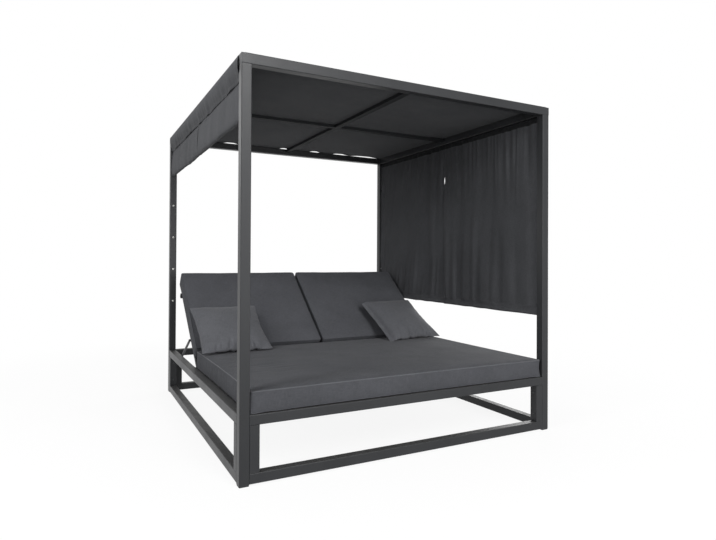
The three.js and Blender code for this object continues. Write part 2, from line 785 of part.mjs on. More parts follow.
// Where a stay's foot stands when the back is raised by an angle
function stayFoot(angle) {
  const y = hingeY + stayAttach * Math.cos(angle) + stayLength * Math.cos(stayShare * angle);
  const z = hingeZ + stayAttach * Math.sin(angle) - stayLength * Math.sin(stayShare * angle);
  return new THREE.Vector2(y, z);
}

// Rack: a notched plate under the path of the foot, with a raised end that the flat back rests on
function rackOutline() {
  const under = stayHalfWidth + rackClearance;
  const highest = recline + reclineStep;
  const start = stayFoot(highest);
  const flat = stayFoot(0);
  const shape = new THREE.Shape();
  shape.moveTo(start.x - rackLead, upperRailBottom);
  shape.lineTo(start.x - rackLead, start.y - under);
  for (let notch = 0; notch < rackNotchCount; notch += 1) {
    const foot = stayFoot(highest - reclineStep * notch);
    const tip = foot.y - under - rackClearance;
    shape.lineTo(foot.x - rackNotchWidth / 2, tip);
    shape.lineTo(foot.x, tip - rackNotchDepth);
    shape.lineTo(foot.x + rackNotchWidth / 2, tip - rackNotchDepth);
    shape.lineTo(foot.x + rackNotchWidth / 2, tip);
  }
  const restTop = hingeZ - backTubeBelow - rackRestDrop;
  const restStart = hingeY + backFrameLength - backTubeWidth - rackLead / 2;
  const rear = innerY - jointGap;
  shape.lineTo(flat.x + rackNotchWidth / 2, flat.y - under - rackClearance);
  shape.lineTo(flat.x + rackLead, flat.y - under - rackNotchDepth);
  shape.lineTo(restStart - rackLead / 2, flat.y - under - rackNotchDepth);
  shape.lineTo(restStart, restTop);
  shape.lineTo(rear, restTop);
  shape.lineTo(rear, upperRailBottom);
  return shape;
}

function rack(start) {
  const settings = { depth: stayThickness, bevelEnabled: false };
  const plate = new THREE.ExtrudeGeometry(rackOutline(), settings);
  return plate.rotateX(Math.PI / 2).rotateZ(Math.PI / 2).translate(start, 0, 0);
}

// Hinge pin with a spacer collar between the rail and the frame's side tube
function hingePin(fromFixed, fixedFace, frameFace, throughFrame) {
  const direction = Math.sign(throughFrame - fromFixed);
  const length = Math.abs(throughFrame - fromFixed);
  const collarStart = Math.abs(fixedFace - fromFixed) + runningGap;
  const collarEnd = Math.abs(frameFace - fromFixed) - runningGap;
  const profile = [
    [0, 0], [hingePinRadius, 0], [hingePinRadius, collarStart], [hingeCollarRadius, collarStart],
    [hingeCollarRadius, collarEnd], [hingePinRadius, collarEnd], [hingePinRadius, length], [0, length],
  ];
  const pin = turned('x', profile, 0, 0, 0);
  if (direction < 0) pin.rotateZ(Math.PI);
  return pin.translate(fromFixed, hingeY, hingeZ);
}

const outerPin = hingePin(
  bayOuter - hingePinReach, bayOuter, frameOuter, frameOuter + backTubeWidth + tubeWall,
);
const innerPin = hingePin(
  bayInner + hingePinReach, bayInner, frameInner, frameInner - backTubeWidth - tubeWall,
);
const outerRackStart = bayOuter + jointGap;
const innerRackStart = bayInner - jointGap - stayThickness;
const backCushionWidth = innerX - seatSideGap - backCentreGap / 2;

for (const side of [-1, 1]) {
  const name = sideName(side);
  const back = new THREE.Group();
  back.position.set(0, hingeY, hingeZ);
  back.rotation.x = recline;
  root.add(back);
  addMesh(back, `back_frame_${name}`, onSide(backFrame(), side), coatedAluminium);

  const pad = cushion(backCushionWidth, backCushionLength, backThickness, backEdge, backCrown);
  const padX = side * (backCentreGap / 2 + backCushionWidth / 2);
  const padStart = backCushionLow + backCushionSlide;
  const padUp = backTubeAbove + cushionGap + backThickness / 2;
  pad.translate(padX, padStart + backCushionLength / 2, padUp);
  addMesh(back, `back_cushion_${name}`, pad, seatFabric);

  const stay = new THREE.Group();
  stay.position.set(0, stayAttach, 0);
  stay.rotation.x = -(recline + stayDrop);
  back.add(stay);
  addMesh(stay, `back_stay_${name}`, onSide(backStay(), side), castAluminium);

  addMesh(root, `hinge_pin_${name}_outer`, onSide(outerPin, side), steel);
  addMesh(root, `hinge_pin_${name}_inner`, onSide(innerPin, side), steel);
  addMesh(root, `rack_${name}_outer`, onSide(rack(outerRackStart), side), castAluminium);
  addMesh(root, `rack_${name}_inner`, onSide(rack(innerRackStart), side), castAluminium);
}

// Scatter pillows: knife edges, pointed corners, a sagging middle and a flat where they rest
const pillowSteps = 12;
const pillowSpread = 0.8;
const pillowFullness = 0.55;

// Height of the mattress under a place, from the same crown as the mattress itself
function seatSurface(x, y) {
  const u = x / (innerX - seatSideGap);
  const v = (y - seatMiddleY) / (seatDepth / 2);
  if (Math.abs(u) > 1 || Math.abs(v) > 1) return 0;
  return seatBottom + seatThickness + crownAt(seatCrown, u, v);
}

// One point of a pillow whose lower edge starts at zero height
function pillowPoint(face, a, b, centreX, turn) {
  const bend = (value) => Math.sign(value) * Math.abs(value) ** pillowSpread;
  const u = bend(2 * a - 1);
  const v = bend(2 * b - 1);
  const fullness = Math.max(0, (1 - u * u) * (1 - v * v)) ** pillowFullness;
  const thick = pillowEdgeThickness / 2 + ((pillowThickness - pillowEdgeThickness) / 2) * fullness;
  const across = u * (pillowWidth / 2 - pillowDrawIn * (1 - v * v));
  const along = pillowHeight / 2 + v * (pillowHeight / 2 - pillowDrawIn * (1 - u * u));
  const point = new THREE.Vector3(across, along, face * thick - pillowSag * Math.sin(Math.PI * b));
  point.applyAxisAngle(new THREE.Vector3(1, 0, 0), pillowLean);
  point.applyAxisAngle(new THREE.Vector3(0, 0, 1), turn);
  return point.add(new THREE.Vector3(centreX, pillowEdgeY, 0));
}

// The pillow is set down until its lowest point all but touches the mattress
function pillow(centreX, turn) {
  let lift = -Infinity;
  for (let row = 0; row <= pillowSteps; row += 1) {
    for (let column = 0; column <= pillowSteps; column += 1) {
      const point = pillowPoint(-1, column / pillowSteps, row / pillowSteps, centreX, turn);
      lift = Math.max(lift, seatSurface(point.x, point.y) + pillowGap - point.z);
    }
  }
  const pointAt = (face) => (a, b) => {
    const point = pillowPoint(face, a, b, centreX, turn);
    return [point.x, point.y, point.z + lift];
  };
  return gridSolid(pillowSteps, pillowSteps, pointAt(1), pointAt(-1));
}

addMesh(root, 'pillow_left', pillow(leftPillowX, 0), pillowFabric);
addMesh(root, 'pillow_right', pillow(rightPillowX, rightPillowTurn), pillowFabric);

export default root;
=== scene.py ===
"""Looks of an outdoor daybed with a fabric canopy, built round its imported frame."""

import logging
import math
from dataclasses import dataclass
from enum import Enum
from typing import Callable, Sequence

import bmesh
import bpy
import numpy as np
from mathutils import Matrix, Vector


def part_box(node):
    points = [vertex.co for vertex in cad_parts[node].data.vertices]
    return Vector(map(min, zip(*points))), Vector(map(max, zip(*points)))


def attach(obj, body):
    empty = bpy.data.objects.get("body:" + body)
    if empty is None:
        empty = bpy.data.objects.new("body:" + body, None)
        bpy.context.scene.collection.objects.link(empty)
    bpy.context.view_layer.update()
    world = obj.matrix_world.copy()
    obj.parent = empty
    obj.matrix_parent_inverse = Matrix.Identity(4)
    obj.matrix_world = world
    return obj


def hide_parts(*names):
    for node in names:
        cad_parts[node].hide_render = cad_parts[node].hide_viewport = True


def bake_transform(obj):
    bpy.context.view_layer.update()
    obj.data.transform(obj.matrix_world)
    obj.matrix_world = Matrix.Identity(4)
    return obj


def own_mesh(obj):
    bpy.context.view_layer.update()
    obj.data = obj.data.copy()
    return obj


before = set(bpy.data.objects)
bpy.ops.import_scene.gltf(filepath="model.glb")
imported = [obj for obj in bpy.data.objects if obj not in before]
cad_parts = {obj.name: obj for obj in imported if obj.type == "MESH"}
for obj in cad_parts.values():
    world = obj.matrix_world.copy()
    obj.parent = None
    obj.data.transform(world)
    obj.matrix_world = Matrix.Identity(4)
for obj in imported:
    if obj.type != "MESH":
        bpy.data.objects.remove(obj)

log = logging.getLogger("daybed")

Colour = tuple[float, float, float, float]
Point = tuple[float, float, float]
Array = np.ndarray
Socket = bpy.types.NodeSocket
Material = bpy.types.Material
Piece = bpy.types.Object

TOLERANCE = 1e-6


class Half(Enum):
    """A half of the daybed, whose value is the sign of the axis there."""

    @property
    def word(self) -> str:
        """Name of the half as the nodes write it.

        Returns:
            The name in small letters.
        """
        return self.name.lower()


class Side(Half):
    """Left and right half of the daybed, with the sign of X there."""

    LEFT = -1
    RIGHT = 1


class End(Half):
    """Front and rear half of the daybed, with the sign of Y there."""

    FRONT = -1
    REAR = 1


# -------- Node trees --------


def paint(code: str) -> Colour:
    """Turns a paint code into a linear colour.

    Args:
        code: six hexadecimal digits, as on a colour card.

    Returns:
        The linear colour with full alpha.
    """
    values = [int(code[i : i + 2], 16) / 255 for i in (0, 2, 4)]
    linear = [v / 12.92 if v <= 0.04045 else ((v + 0.055) / 1.055) ** 2.4 for v in values]
    return (*linear, 1.0)


class Graph:
    """Adds and links the nodes of one tree."""

    def __init__(self, tree: bpy.types.NodeTree) -> None:
        """Empties the tree.

        Args:
            tree: the material's, world's or group's node tree.
        """
        self.tree = tree
        tree.nodes.clear()

    def feed(self, socket: Socket, value: object) -> None:
        """Links a socket or sets its value.

        Args:
            socket: the input to feed.
            value: an output socket or a plain value.
        """
        if isinstance(value, bpy.types.NodeSocket):
            self.tree.links.new(value, socket)
        else:
            socket.default_value = value

    def add(
        self, kind: str, feeds: dict[str | int, object] | None = None, **settings: object
    ) -> bpy.types.Node:
        """Adds one node.

        Args:
            kind: the node's type, without its ShaderNode prefix.
            feeds: its inputs by name or number.
            **settings: its properties.

        Returns:
            The new node.
        """
        node = self.tree.nodes.new("ShaderNode" + kind)
        for name, value in settings.items():
            setattr(node, name, value)
        for key, value in (feeds or {}).items():
            self.feed(node.inputs[key], value)
        return node

    def math(self, operation: str, *values: object, clamp: bool = False) -> Socket:
        """Adds a Math node and returns its output.

        Args:
            operation: the node's operation.
            *values: its inputs in order.
            clamp: keeps the result between zero and one.

        Returns:
            The result.
        """
        feeds = dict(enumerate(values))
        return self.add("Math", feeds, operation=operation, use_clamp=clamp).outputs[0]

    def span(
        self, value: Socket, low: float, high: float, start: float = 0.0, end: float = 1.0
    ) -> Socket:
        """Maps a value from one span to another, clamped.

        Args:
            value: what is mapped.
            low: the value that gives start.
            high: the value that gives end.
            start: the result at low.
            end: the result at high.

        Returns:
            The mapped value.
        """
        feeds = {"Value": value, "From Min": low, "From Max": high, "To Min": start, "To Max": end}
        return self.add("MapRange", feeds, interpolation_type="SMOOTHSTEP").outputs[0]

    def blend(self, share: object, first: object, second: object, mode: str = "MIX") -> Socket:
        """Mixes two colours.

        Args:
            share: how much of the second shows.
            first: the colour beneath.
            second: the colour above.
            mode: the blend type.

        Returns:
            The mixed colour.
        """
        feeds = {0: share, 6: first, 7: second}
        return self.add("Mix", feeds, data_type="RGBA", blend_type=mode).outputs[2]

    def noise(self, vector: Socket, size: float, detail: float = 2.0, rough: float = 0.5) -> Socket:
        """Adds noise whose features are about so large.

        Args:
            vector: where it is read.
            size: the size of a feature in metres.
            detail: octaves.
            rough: strength of the finer octaves.

        Returns:
            The noise value.
        """
        feeds = {"Vector": vector, "Scale": 1 / size, "Detail": detail, "Roughness": rough}
        return self.add("TexNoise", feeds).outputs[0]

    def stretched(self, vector: Socket, scale: Point) -> Socket:
        """Scales a coordinate along each axis.

        Args:
            vector: the coordinate.
            scale: the factor along each axis.

        Returns:
            The scaled coordinate.
        """
        return self.add("Mapping", {"Vector": vector, "Scale": scale}).outputs[0]

    def bump(self, height: Socket, depth: float, normal: Socket | None = None) -> Socket:
        """Adds relief of a depth in metres.

        Args:
            height: the relief, from zero to one.
            depth: the height of one in metres.
            normal: the normal beneath, if any.

        Returns:
            The normal.
        """
        feeds = {"Height": height, "Distance": depth}
        if normal is not None:
            feeds["Normal"] = normal
        return self.add("Bump", feeds).outputs[0]


class Effect(Enum):
    """Shared surface effects, each one node group."""

    WEAVE = "weave"
    EDGES = "edge_rounding"
    GRAIN = "coating_grain"
    BLOTCH = "blotches"
    THREAD = "thread_row"


class EffectShop:
    """Builds each shared node group once and places it where it is asked for."""

    def __init__(self) -> None:
        """Starts with no group built."""
        self.trees: dict[Effect, bpy.types.NodeTree] = {}

    def start(
        self, effect: Effect, inputs: dict[str, object], outputs: dict[str, str]
    ) -> tuple[Graph, dict[str, Socket], dict[str, Socket]]:
        """Makes an empty group with its sockets.

        Args:
            effect: which effect it is.
            inputs: default values by name; a tuple is a vector.
            outputs: socket kinds by name.

        Returns:
            The graph, the group's inputs and its outputs, by name.
        """
        tree = bpy.data.node_groups.new(effect.value, "ShaderNodeTree")
        graph = Graph(tree)
        for name, value in inputs.items():
            kind = "NodeSocketVector" if isinstance(value, tuple) else "NodeSocketFloat"
            socket = tree.interface.new_socket(name=name, in_out="INPUT", socket_type=kind)
            socket.default_value = value
        for name, kind in outputs.items():
            tree.interface.new_socket(name=name, in_out="OUTPUT", socket_type="NodeSocket" + kind)
        entry = tree.nodes.new("NodeGroupInput")
        leave = tree.nodes.new("NodeGroupOutput")
        self.trees[effect] = tree
        return (
            graph,
            {name: entry.outputs[name] for name in inputs},
            {name: leave.inputs[name] for name in outputs},
        )

    def weave(self) -> None:
        """Plain weave: threads pass over and under each other."""
        graph, have, give = self.start(
            Effect.WEAVE,
            {"Vector": (0.0, 0.0, 0.0), "Pitch": 0.0011, "Slub": 0.5},
            {"Height": "Float", "Tone": "Float"},
        )
        parts = graph.add("SeparateXYZ", {0: have["Vector"]})
        pitch = have["Pitch"]
        turns = [
            graph.math("DIVIDE", graph.math("MULTIPLY", parts.outputs[axis], math.pi), pitch)
            for axis in (0, 1)
        ]
        ridges = [graph.math("ABSOLUTE", graph.math("SINE", turn)) for turn in turns]
        halves = [graph.math("COSINE", turn) for turn in turns]
        over = graph.math("MULTIPLY_ADD", graph.math("MULTIPLY", *halves), 0.5, 0.5, clamp=True)
        warp = graph.math("MULTIPLY", ridges[0], over)
        weft = graph.math("MULTIPLY", ridges[1], graph.math("SUBTRACT", 1.0, over))
        graph.feed(give["Height"], graph.math("MAXIMUM", warp, weft))
        along = graph.noise(graph.stretched(have["Vector"], (1.0, 0.04, 1.0)), 0.0016, 1.0)
        across = graph.noise(graph.stretched(have["Vector"], (0.04, 1.0, 1.0)), 0.0016, 1.0)
        thread = graph.math("ADD", along, graph.math("SUBTRACT", across, 1.0))
        graph.feed(give["Tone"], graph.math("MULTIPLY_ADD", thread, have["Slub"], 1.0))

    def edges(self) -> None:
        """Rounded edges of hard pieces, with a mask of where they are."""
        graph, have, give = self.start(
            Effect.EDGES, {"Radius": 0.0015}, {"Mask": "Float", "Normal": "Vector"}
        )
        bevel = graph.add("Bevel", {"Radius": have["Radius"]}, samples=4).outputs[0]
        flat = graph.add("NewGeometry").outputs["Normal"]
        same = graph.add("VectorMath", {0: bevel, 1: flat}, operation="DOT_PRODUCT")
        graph.feed(give["Mask"], graph.span(same.outputs["Value"], 0.995, 0.85))
        graph.feed(give["Normal"], bevel)

    def grain(self) -> None:
        """Fine orange peel of a sprayed or moulded surface, with flecks in it."""
        graph, have, give = self.start(
            Effect.GRAIN,
            {"Vector": (0.0, 0.0, 0.0), "Size": 0.0012},
            {"Height": "Float", "Fleck": "Float"},
        )
        scale = graph.math("DIVIDE", 1.0, have["Size"])
        feeds = {"Vector": have["Vector"], "Scale": scale, "Detail": 1.5}
        peel = graph.add("TexNoise", feeds).outputs[0]
        fine = graph.math("MULTIPLY", scale, 2.6)
        dots = graph.add("TexVoronoi", {"Vector": have["Vector"], "Scale": fine})
        graph.feed(give["Height"], peel)
        graph.feed(give["Fleck"], graph.span(dots.outputs["Distance"], 0.32, 0.08))

    def blotch(self) -> None:
        """Broad uneven patches, for fading, dust and handling."""
        graph, have, give = self.start(
            Effect.BLOTCH, {"Vector": (0.0, 0.0, 0.0), "Size": 0.3}, {"Patch": "Float"}
        )
        scale = graph.math("DIVIDE", 1.0, have["Size"])
        feeds = {"Vector": have["Vector"], "Scale": scale, "Detail": 4.0, "Roughness": 0.6}
        graph.feed(give["Patch"], graph.span(graph.add("TexNoise", feeds).outputs[0], 0.3, 0.7))

    def thread(self) -> None:
        """A row of lockstitches; X is the distance from the row, Y the place along it."""
        graph, have, give = self.start(
            Effect.THREAD,
            {"Row": (0.0, 0.0, 0.0), "Pitch": 0.004, "Width": 0.0011},
            {"Mask": "Float", "Dent": "Float"},
        )
        parts = graph.add("SeparateXYZ", {0: have["Row"]})
        away = graph.math("DIVIDE", parts.outputs[0], have["Width"])
        place = graph.math("FRACT", graph.math("DIVIDE", parts.outputs[1], have["Pitch"]))
        middle = graph.math("ABSOLUTE", graph.math("SUBTRACT", place, 0.5))
        stitch = graph.math("MULTIPLY", graph.span(away, 1.0, 0.5), graph.span(middle, 0.42, 0.32))
        graph.feed(give["Mask"], stitch)
        graph.feed(give["Dent"], graph.span(away, 5.0, 0.0))

    def place(self, graph: Graph, effect: Effect, **values: object) -> bpy.types.Node:
        """Places an effect in a tree, building it at first use.

        Args:
            graph: the tree that needs it.
            effect: which effect.
            **values: its inputs.

        Returns:
            The group node.
        """
        if effect not in self.trees:
            getattr(self, effect.name.lower())()
        node = graph.tree.nodes.new("ShaderNodeGroup")
        node.node_tree = self.trees[effect]
        for name, value in values.items():
            graph.feed(node.inputs[name], value)
        return node


effects = EffectShop()


def shaded_material(name: str, **plain: object) -> tuple[Material, Graph, bpy.types.Node]:
    """Starts a material with one main shader.

    Args:
        name: the material's name.
        **plain: values that are the same all over, by socket name with _ for spaces.

    Returns:
        The material, its graph and its main shader.
    """
    material = bpy.data.materials.new(name)
    material.use_nodes = True
    graph = Graph(material.node_tree)
    out = graph.add("OutputMaterial")
    shader = graph.add("BsdfPrincipled")
    graph.feed(out.inputs["Surface"], shader.outputs[0])
    for key, value in plain.items():
        shader.inputs[key.replace("_", " ")].default_value = value
    return material, graph, shader


@dataclass(frozen=True)
class HardFinish:
    """Sprayed, cast, turned or moulded surface of a hard piece."""

    name: str
    colour: str
    worn: str
    roughness: float = 0.42
    metallic: float = 0.0
    specular: float = 0.5
    grain_size: float = 0.0012
    grain_depth: float = 0.00006
    fleck: float = 0.12
    wear: float = 0.35
    edge_radius: float = 0.0016
    dust: float = 0.1
    dust_colour: str = "8F8C86"
    patch_size: float = 0.32
    streak: Point = (1.0, 1.0, 0.45)

    def build(self) -> Material:
        """Builds the material.

        Returns:
            The material.
        """
        material, graph, shader = shaded_material(
            self.name, Metallic=self.metallic, Specular_IOR_Level=self.specular
        )
        where = graph.add("TexCoord").outputs["Object"]
        edges = effects.place(graph, Effect.EDGES, Radius=self.edge_radius)
        grain = effects.place(graph, Effect.GRAIN, Vector=where, Size=self.grain_size)
        streaks = graph.stretched(where, self.streak)
        broad = effects.place(graph, Effect.BLOTCH, Vector=streaks, Size=self.patch_size)
        broad = broad.outputs["Patch"]
        scuffs = effects.place(graph, Effect.BLOTCH, Vector=where, Size=self.patch_size * 0.09)
        scuffs = scuffs.outputs["Patch"]
        base, bare = paint(self.colour), paint(self.worn)
        deep = tuple(c * 0.86 for c in base[:3]) + (1.0,)
        colour = graph.blend(broad, deep, base)
        flecks = graph.math("MULTIPLY", grain.outputs["Fleck"], self.fleck)
        colour = graph.blend(flecks, colour, bare)
        exposed = graph.span(scuffs, 0.2, 1.0, 0.25, 1.0)
        worn = graph.math("MULTIPLY", edges.outputs["Mask"], exposed)
        colour = graph.blend(graph.math("MULTIPLY", worn, self.wear), colour, bare)
        normal = graph.add("NewGeometry").outputs["Normal"]
        upward = graph.span(graph.add("SeparateXYZ", {0: normal}).outputs[2], 0.5, 0.95)
        dusty = graph.math("MULTIPLY", upward, graph.span(scuffs, 0.0, 1.0, 0.5, 1.0))
        dusty = graph.math("MULTIPLY", dusty, self.dust)
        colour = graph.blend(dusty, colour, paint(self.dust_colour))
        graph.feed(shader.inputs["Base Color"], colour)
        rough = graph.math("MULTIPLY_ADD", broad, 0.09, self.roughness - 0.04)
        rough = graph.math("ADD", rough, dusty)
        graph.feed(shader.inputs["Roughness"], graph.math("MULTIPLY_ADD", worn, -0.08, rough))
        relief = graph.bump(grain.outputs["Height"], self.grain_depth, edges.outputs["Normal"])
        graph.feed(shader.inputs["Normal"], relief)
        return material


@dataclass(frozen=True)
class ClothFinish:
    """Woven outdoor fabric, with its threads, uneven dye, small creases, stitch rows and painted
    shade.
    """

    name: str
    colour: str
    thread: str
    pitch: float = 0.0011
    slub: float = 0.5
    weave_depth: float = 0.00028
    crease_size: float = 0.035
    crease_depth: float = 0.0006
    crease_stretch: Point = (1.0, 1.0, 1.0)
    unevenness: float = 0.14
    crease_follows_cut: bool = False
    roughness: float = 0.86
    sheen: float = 0.1
    specular: float = 0.14
    patch_size: float = 0.24

    def build(self) -> Material:
        """Builds the material.

        Returns:
            The material.
        """
        material, graph, shader = shaded_material(
            self.name,
            Sheen_Weight=self.sheen,
            Sheen_Roughness=0.45,
            Specular_IOR_Level=self.specular,
        )
        flat = graph.add("UVMap", uv_map="cut").outputs[0]
        where = graph.add("TexCoord").outputs["Object"]
        weave = effects.place(graph, Effect.WEAVE, Vector=flat, Pitch=self.pitch, Slub=self.slub)
        broad = effects.place(graph, Effect.BLOTCH, Vector=where, Size=self.patch_size)
        fuzz = effects.place(graph, Effect.BLOTCH, Vector=where, Size=self.patch_size * 0.07)
        row = graph.add("Attribute", attribute_name="row").outputs["Vector"]
        stitch = effects.place(graph, Effect.THREAD, Row=row)
        base = paint(self.colour)
        lowest = 1 - self.unevenness / 2
        tone = graph.math("MULTIPLY_ADD", broad.outputs["Patch"], self.unevenness, lowest)
        tone = graph.math("MULTIPLY", tone, graph.span(fuzz.outputs["Patch"], 0.0, 1.0, 0.97, 1.03))
        tone = graph.math("MULTIPLY", tone, weave.outputs["Tone"])
        # Painted shade in the gaps between threads, and painted highlight on their crowns.
        painted_gap_shade = graph.span(weave.outputs["Height"], 0.0, 0.7, 0.72, 1.06)
        tone = graph.math("MULTIPLY", tone, painted_gap_shade)
        # Painted shade: the row attribute's third value darkens the flaps' lower part and the
        # curtains' header band.
        tone = graph.math("MULTIPLY", tone, graph.add("SeparateXYZ", {0: row}).outputs[2])
        grey = graph.add("CombineXYZ", {0: tone, 1: tone, 2: tone}).outputs[0]
        colour = graph.blend(1.0, base, grey, "MULTIPLY")
        threads = graph.math("MULTIPLY", stitch.outputs["Mask"], 0.75)
        colour = graph.blend(threads, colour, paint(self.thread))
        graph.feed(shader.inputs["Base Color"], colour)
        rough = graph.math("MULTIPLY_ADD", fuzz.outputs["Patch"], 0.08, self.roughness - 0.04)
        graph.feed(shader.inputs["Roughness"], rough)
        ground = graph.stretched(flat if self.crease_follows_cut else where, self.crease_stretch)
        creases = graph.noise(ground, self.crease_size, 3.0, 0.45)
        relief = graph.bump(creases, self.crease_depth)
        relief = graph.bump(graph.math("SUBTRACT", 1.0, stitch.outputs["Dent"]), 0.0007, relief)
        relief = graph.bump(stitch.outputs["Mask"], 0.0004, relief)
        relief = graph.bump(weave.outputs["Height"], self.weave_depth, relief)
        graph.feed(shader.inputs["Normal"], relief)
        return material


TUBE_FINISH = HardFinish("anthracite_coating", "2C2D2F", "5A5C5F", roughness=0.4, specular=0.25)
CAST_FINISH = HardFinish(
    "cast_link", "313234", "7A7C7F", roughness=0.5, metallic=0.2, grain_size=0.0022,
    grain_depth=0.00014,
)
STEEL_FINISH = HardFinish(
    "bright_pin", "B4B6B8", "D8DADC", roughness=0.26, metallic=1.0, grain_size=0.0009,
    grain_depth=0.00002, fleck=0.05, wear=0.2, edge_radius=0.0006, dust=0.05,
    streak=(0.2, 6.0, 6.0),
)
# The anthracite coating again, darker and less glossy: painted shade on the roof bars, centre beam
# and slat deck.
SHADED_BAR_FINISH = HardFinish("roof_bar_coating", "28292B", "3E3F42", roughness=0.68, specular=0.08)
GLIDE_FINISH = HardFinish(
    "glide_moulding", "232425", "4A4B4C", roughness=0.55, grain_size=0.0008,
    grain_depth=0.00005, fleck=0.06, wear=0.4, edge_radius=0.001, dust=0.2,
)
BUSH_FINISH = HardFinish(
    "white_bush", "F2F2EE", "FFFFFF", roughness=0.4, grain_size=0.0009, grain_depth=0.00002,
    fleck=0.05, wear=0.1, edge_radius=0.0004, dust=0.05, patch_size=0.05,
)
CUSHION_FINISH = ClothFinish("cushion_weave", "4E4F53", "606165", specular=0.06, sheen=0.05)
# Lighter than the cushion cloth: painted highlight along the mattress's upper piping, which is
# real.
HIGHLIGHT_PIPING_FINISH = ClothFinish("piping_weave", "606165", "707175", pitch=0.0009, crease_depth=0.0002)
PILLOW_FINISH = ClothFinish(
    "pillow_weave", "57585C", "66676B", crease_size=0.028, crease_depth=0.0008
)
CANOPY_FINISH = ClothFinish(
    "canopy_weave", "4C4D50", "5C5D60", pitch=0.0008, weave_depth=0.00018, crease_size=0.03,
    crease_depth=0.0011, crease_stretch=(1.0, 0.12, 1.0), crease_follows_cut=True, sheen=0.06,
    specular=0.1, roughness=0.82,
)

COATED_NODES = (
    "post_", "top_rail_", "front_", "rear_", "left_", "right_", "curtain_rod_", "back_frame_",
)
SHADED_BAR_NODES = ("roof_bar_", "centre_beam", "seat_slat_deck")
CAST_NODES = ("back_stay_", "rack_")
STEEL_NODES = ("rod_pin_", "hinge_pin_")
GLIDE_NODES = ("glide_",)


# -------- Meshes --------


class Ripple:
    """Smooth noise over two coordinates, the same at every run."""

    size = 61

    def __init__(self, seed: int) -> None:
        """Draws the lattice, which repeats after its size.

        Args:
            seed: picks the lattice.
        """
        self.lattice = np.random.default_rng(seed).standard_normal((self.size, self.size))

    def at(self, x: Array, y: Array) -> Array:
        """Reads the noise.

        Args:
            x: first coordinates, one lattice cell a unit.
            y: second coordinates.

        Returns:
            Values with a spread of about one.
        """
        x, y = np.broadcast_arrays(x, y)
        column, row = np.floor(x).astype(int), np.floor(y).astype(int)
        a, b = x - column, y - row
        a, b = a * a * (3 - 2 * a), b * b * (3 - 2 * b)
        pick = lambda i, j: self.lattice[(column + i) % self.size, (row + j) % self.size]
        near = pick(0, 0) * (1 - b) + pick(0, 1) * b
        far = pick(1, 0) * (1 - b) + pick(1, 1) * b
        return near * (1 - a) + far * a


def smooth(value: Array, low: float, high: float) -> Array:
    """Rises from zero at low to one at high.

    Args:
        value: what is measured.
        low: where the rise starts.
        high: where it ends.

    Returns:
        Shares from zero to one.
    """
    share = np.clip((np.asarray(value, float) - low) / (high - low), 0, 1)
    return share * share * (3 - 2 * share)


def hump(value: Array, centre: float, width: float) -> Array:
    """Bell curve about a centre.

    Args:
        value: what is measured.
        centre: where it peaks.
        width: its spread.

    Returns:
        Heights from zero to one.
    """
    return np.exp(-(((np.asarray(value, float) - centre) / width) ** 2))


def make_object(
    name: str, points: Array, faces: Array, cut: Callable[[Array, Array], Array],
    rows: Array | None = None, recalculate: bool = True,
) -> Piece:
    """Makes a smooth mesh object at the origin.

    Args:
        name: the piece's name.
        points: its vertices.
        faces: corner numbers of each face.
        cut: gives the flat pattern's coordinates from each loop's vertex and face numbers.
        rows: for each vertex the distance from the nearest stitch row, the place along it and,
        if given, painted shade on the cloth.
        recalculate: turns the faces outwards.

    Returns:
        The object, linked to the scene.
    """
    mesh = bpy.data.meshes.new(name)
    mesh.from_pydata(points.tolist(), [], faces.tolist())
    if recalculate:
        work = bmesh.new()
        work.from_mesh(mesh)
        bmesh.ops.recalc_face_normals(work, faces=work.faces)
        work.to_mesh(mesh)
        work.free()
    corners = np.zeros(len(mesh.loops), int)
    mesh.loops.foreach_get("vertex_index", corners)
    totals = np.zeros(len(mesh.polygons), int)
    mesh.polygons.foreach_get("loop_total", totals)
    owners = np.repeat(np.arange(len(totals)), totals)
    layer = mesh.uv_layers.new(name="cut")
    layer.data.foreach_set("uv", cut(corners, owners).astype(np.float32).ravel())
    attribute = mesh.attributes.new("row", "FLOAT_VECTOR", "POINT")
    values = np.full((len(points), 3), 1.0, np.float32)
    if rows is not None:
        values[:, : rows.shape[1]] = rows
    attribute.data.foreach_set("vector", values.ravel())
    mesh.polygons.foreach_set("use_smooth", np.ones(len(mesh.polygons), bool))
    mesh.update()
    piece = bpy.data.objects.new(name, mesh)
    bpy.context.scene.collection.objects.link(piece)
    return piece


def grid_quads(number: Array) -> Array:
    """Joins a grid of vertices with quads.

    Args:
        number: the vertex number at each place of the grid.

    Returns:
        Four vertex numbers for each face.
    """
    corners = [number[:-1, :-1], number[:-1, 1:], number[1:, 1:], number[1:, :-1]]
    return np.stack(corners, -1).reshape(-1, 4)


def along_path(path: Array) -> Array:
    """Measures a path.

    Args:
        path: its points.

    Returns:
        The distance along it at each point.
    """
    steps = np.linalg.norm(np.diff(path, axis=0), axis=1)
    return np.concatenate([[0], np.cumsum(steps)])


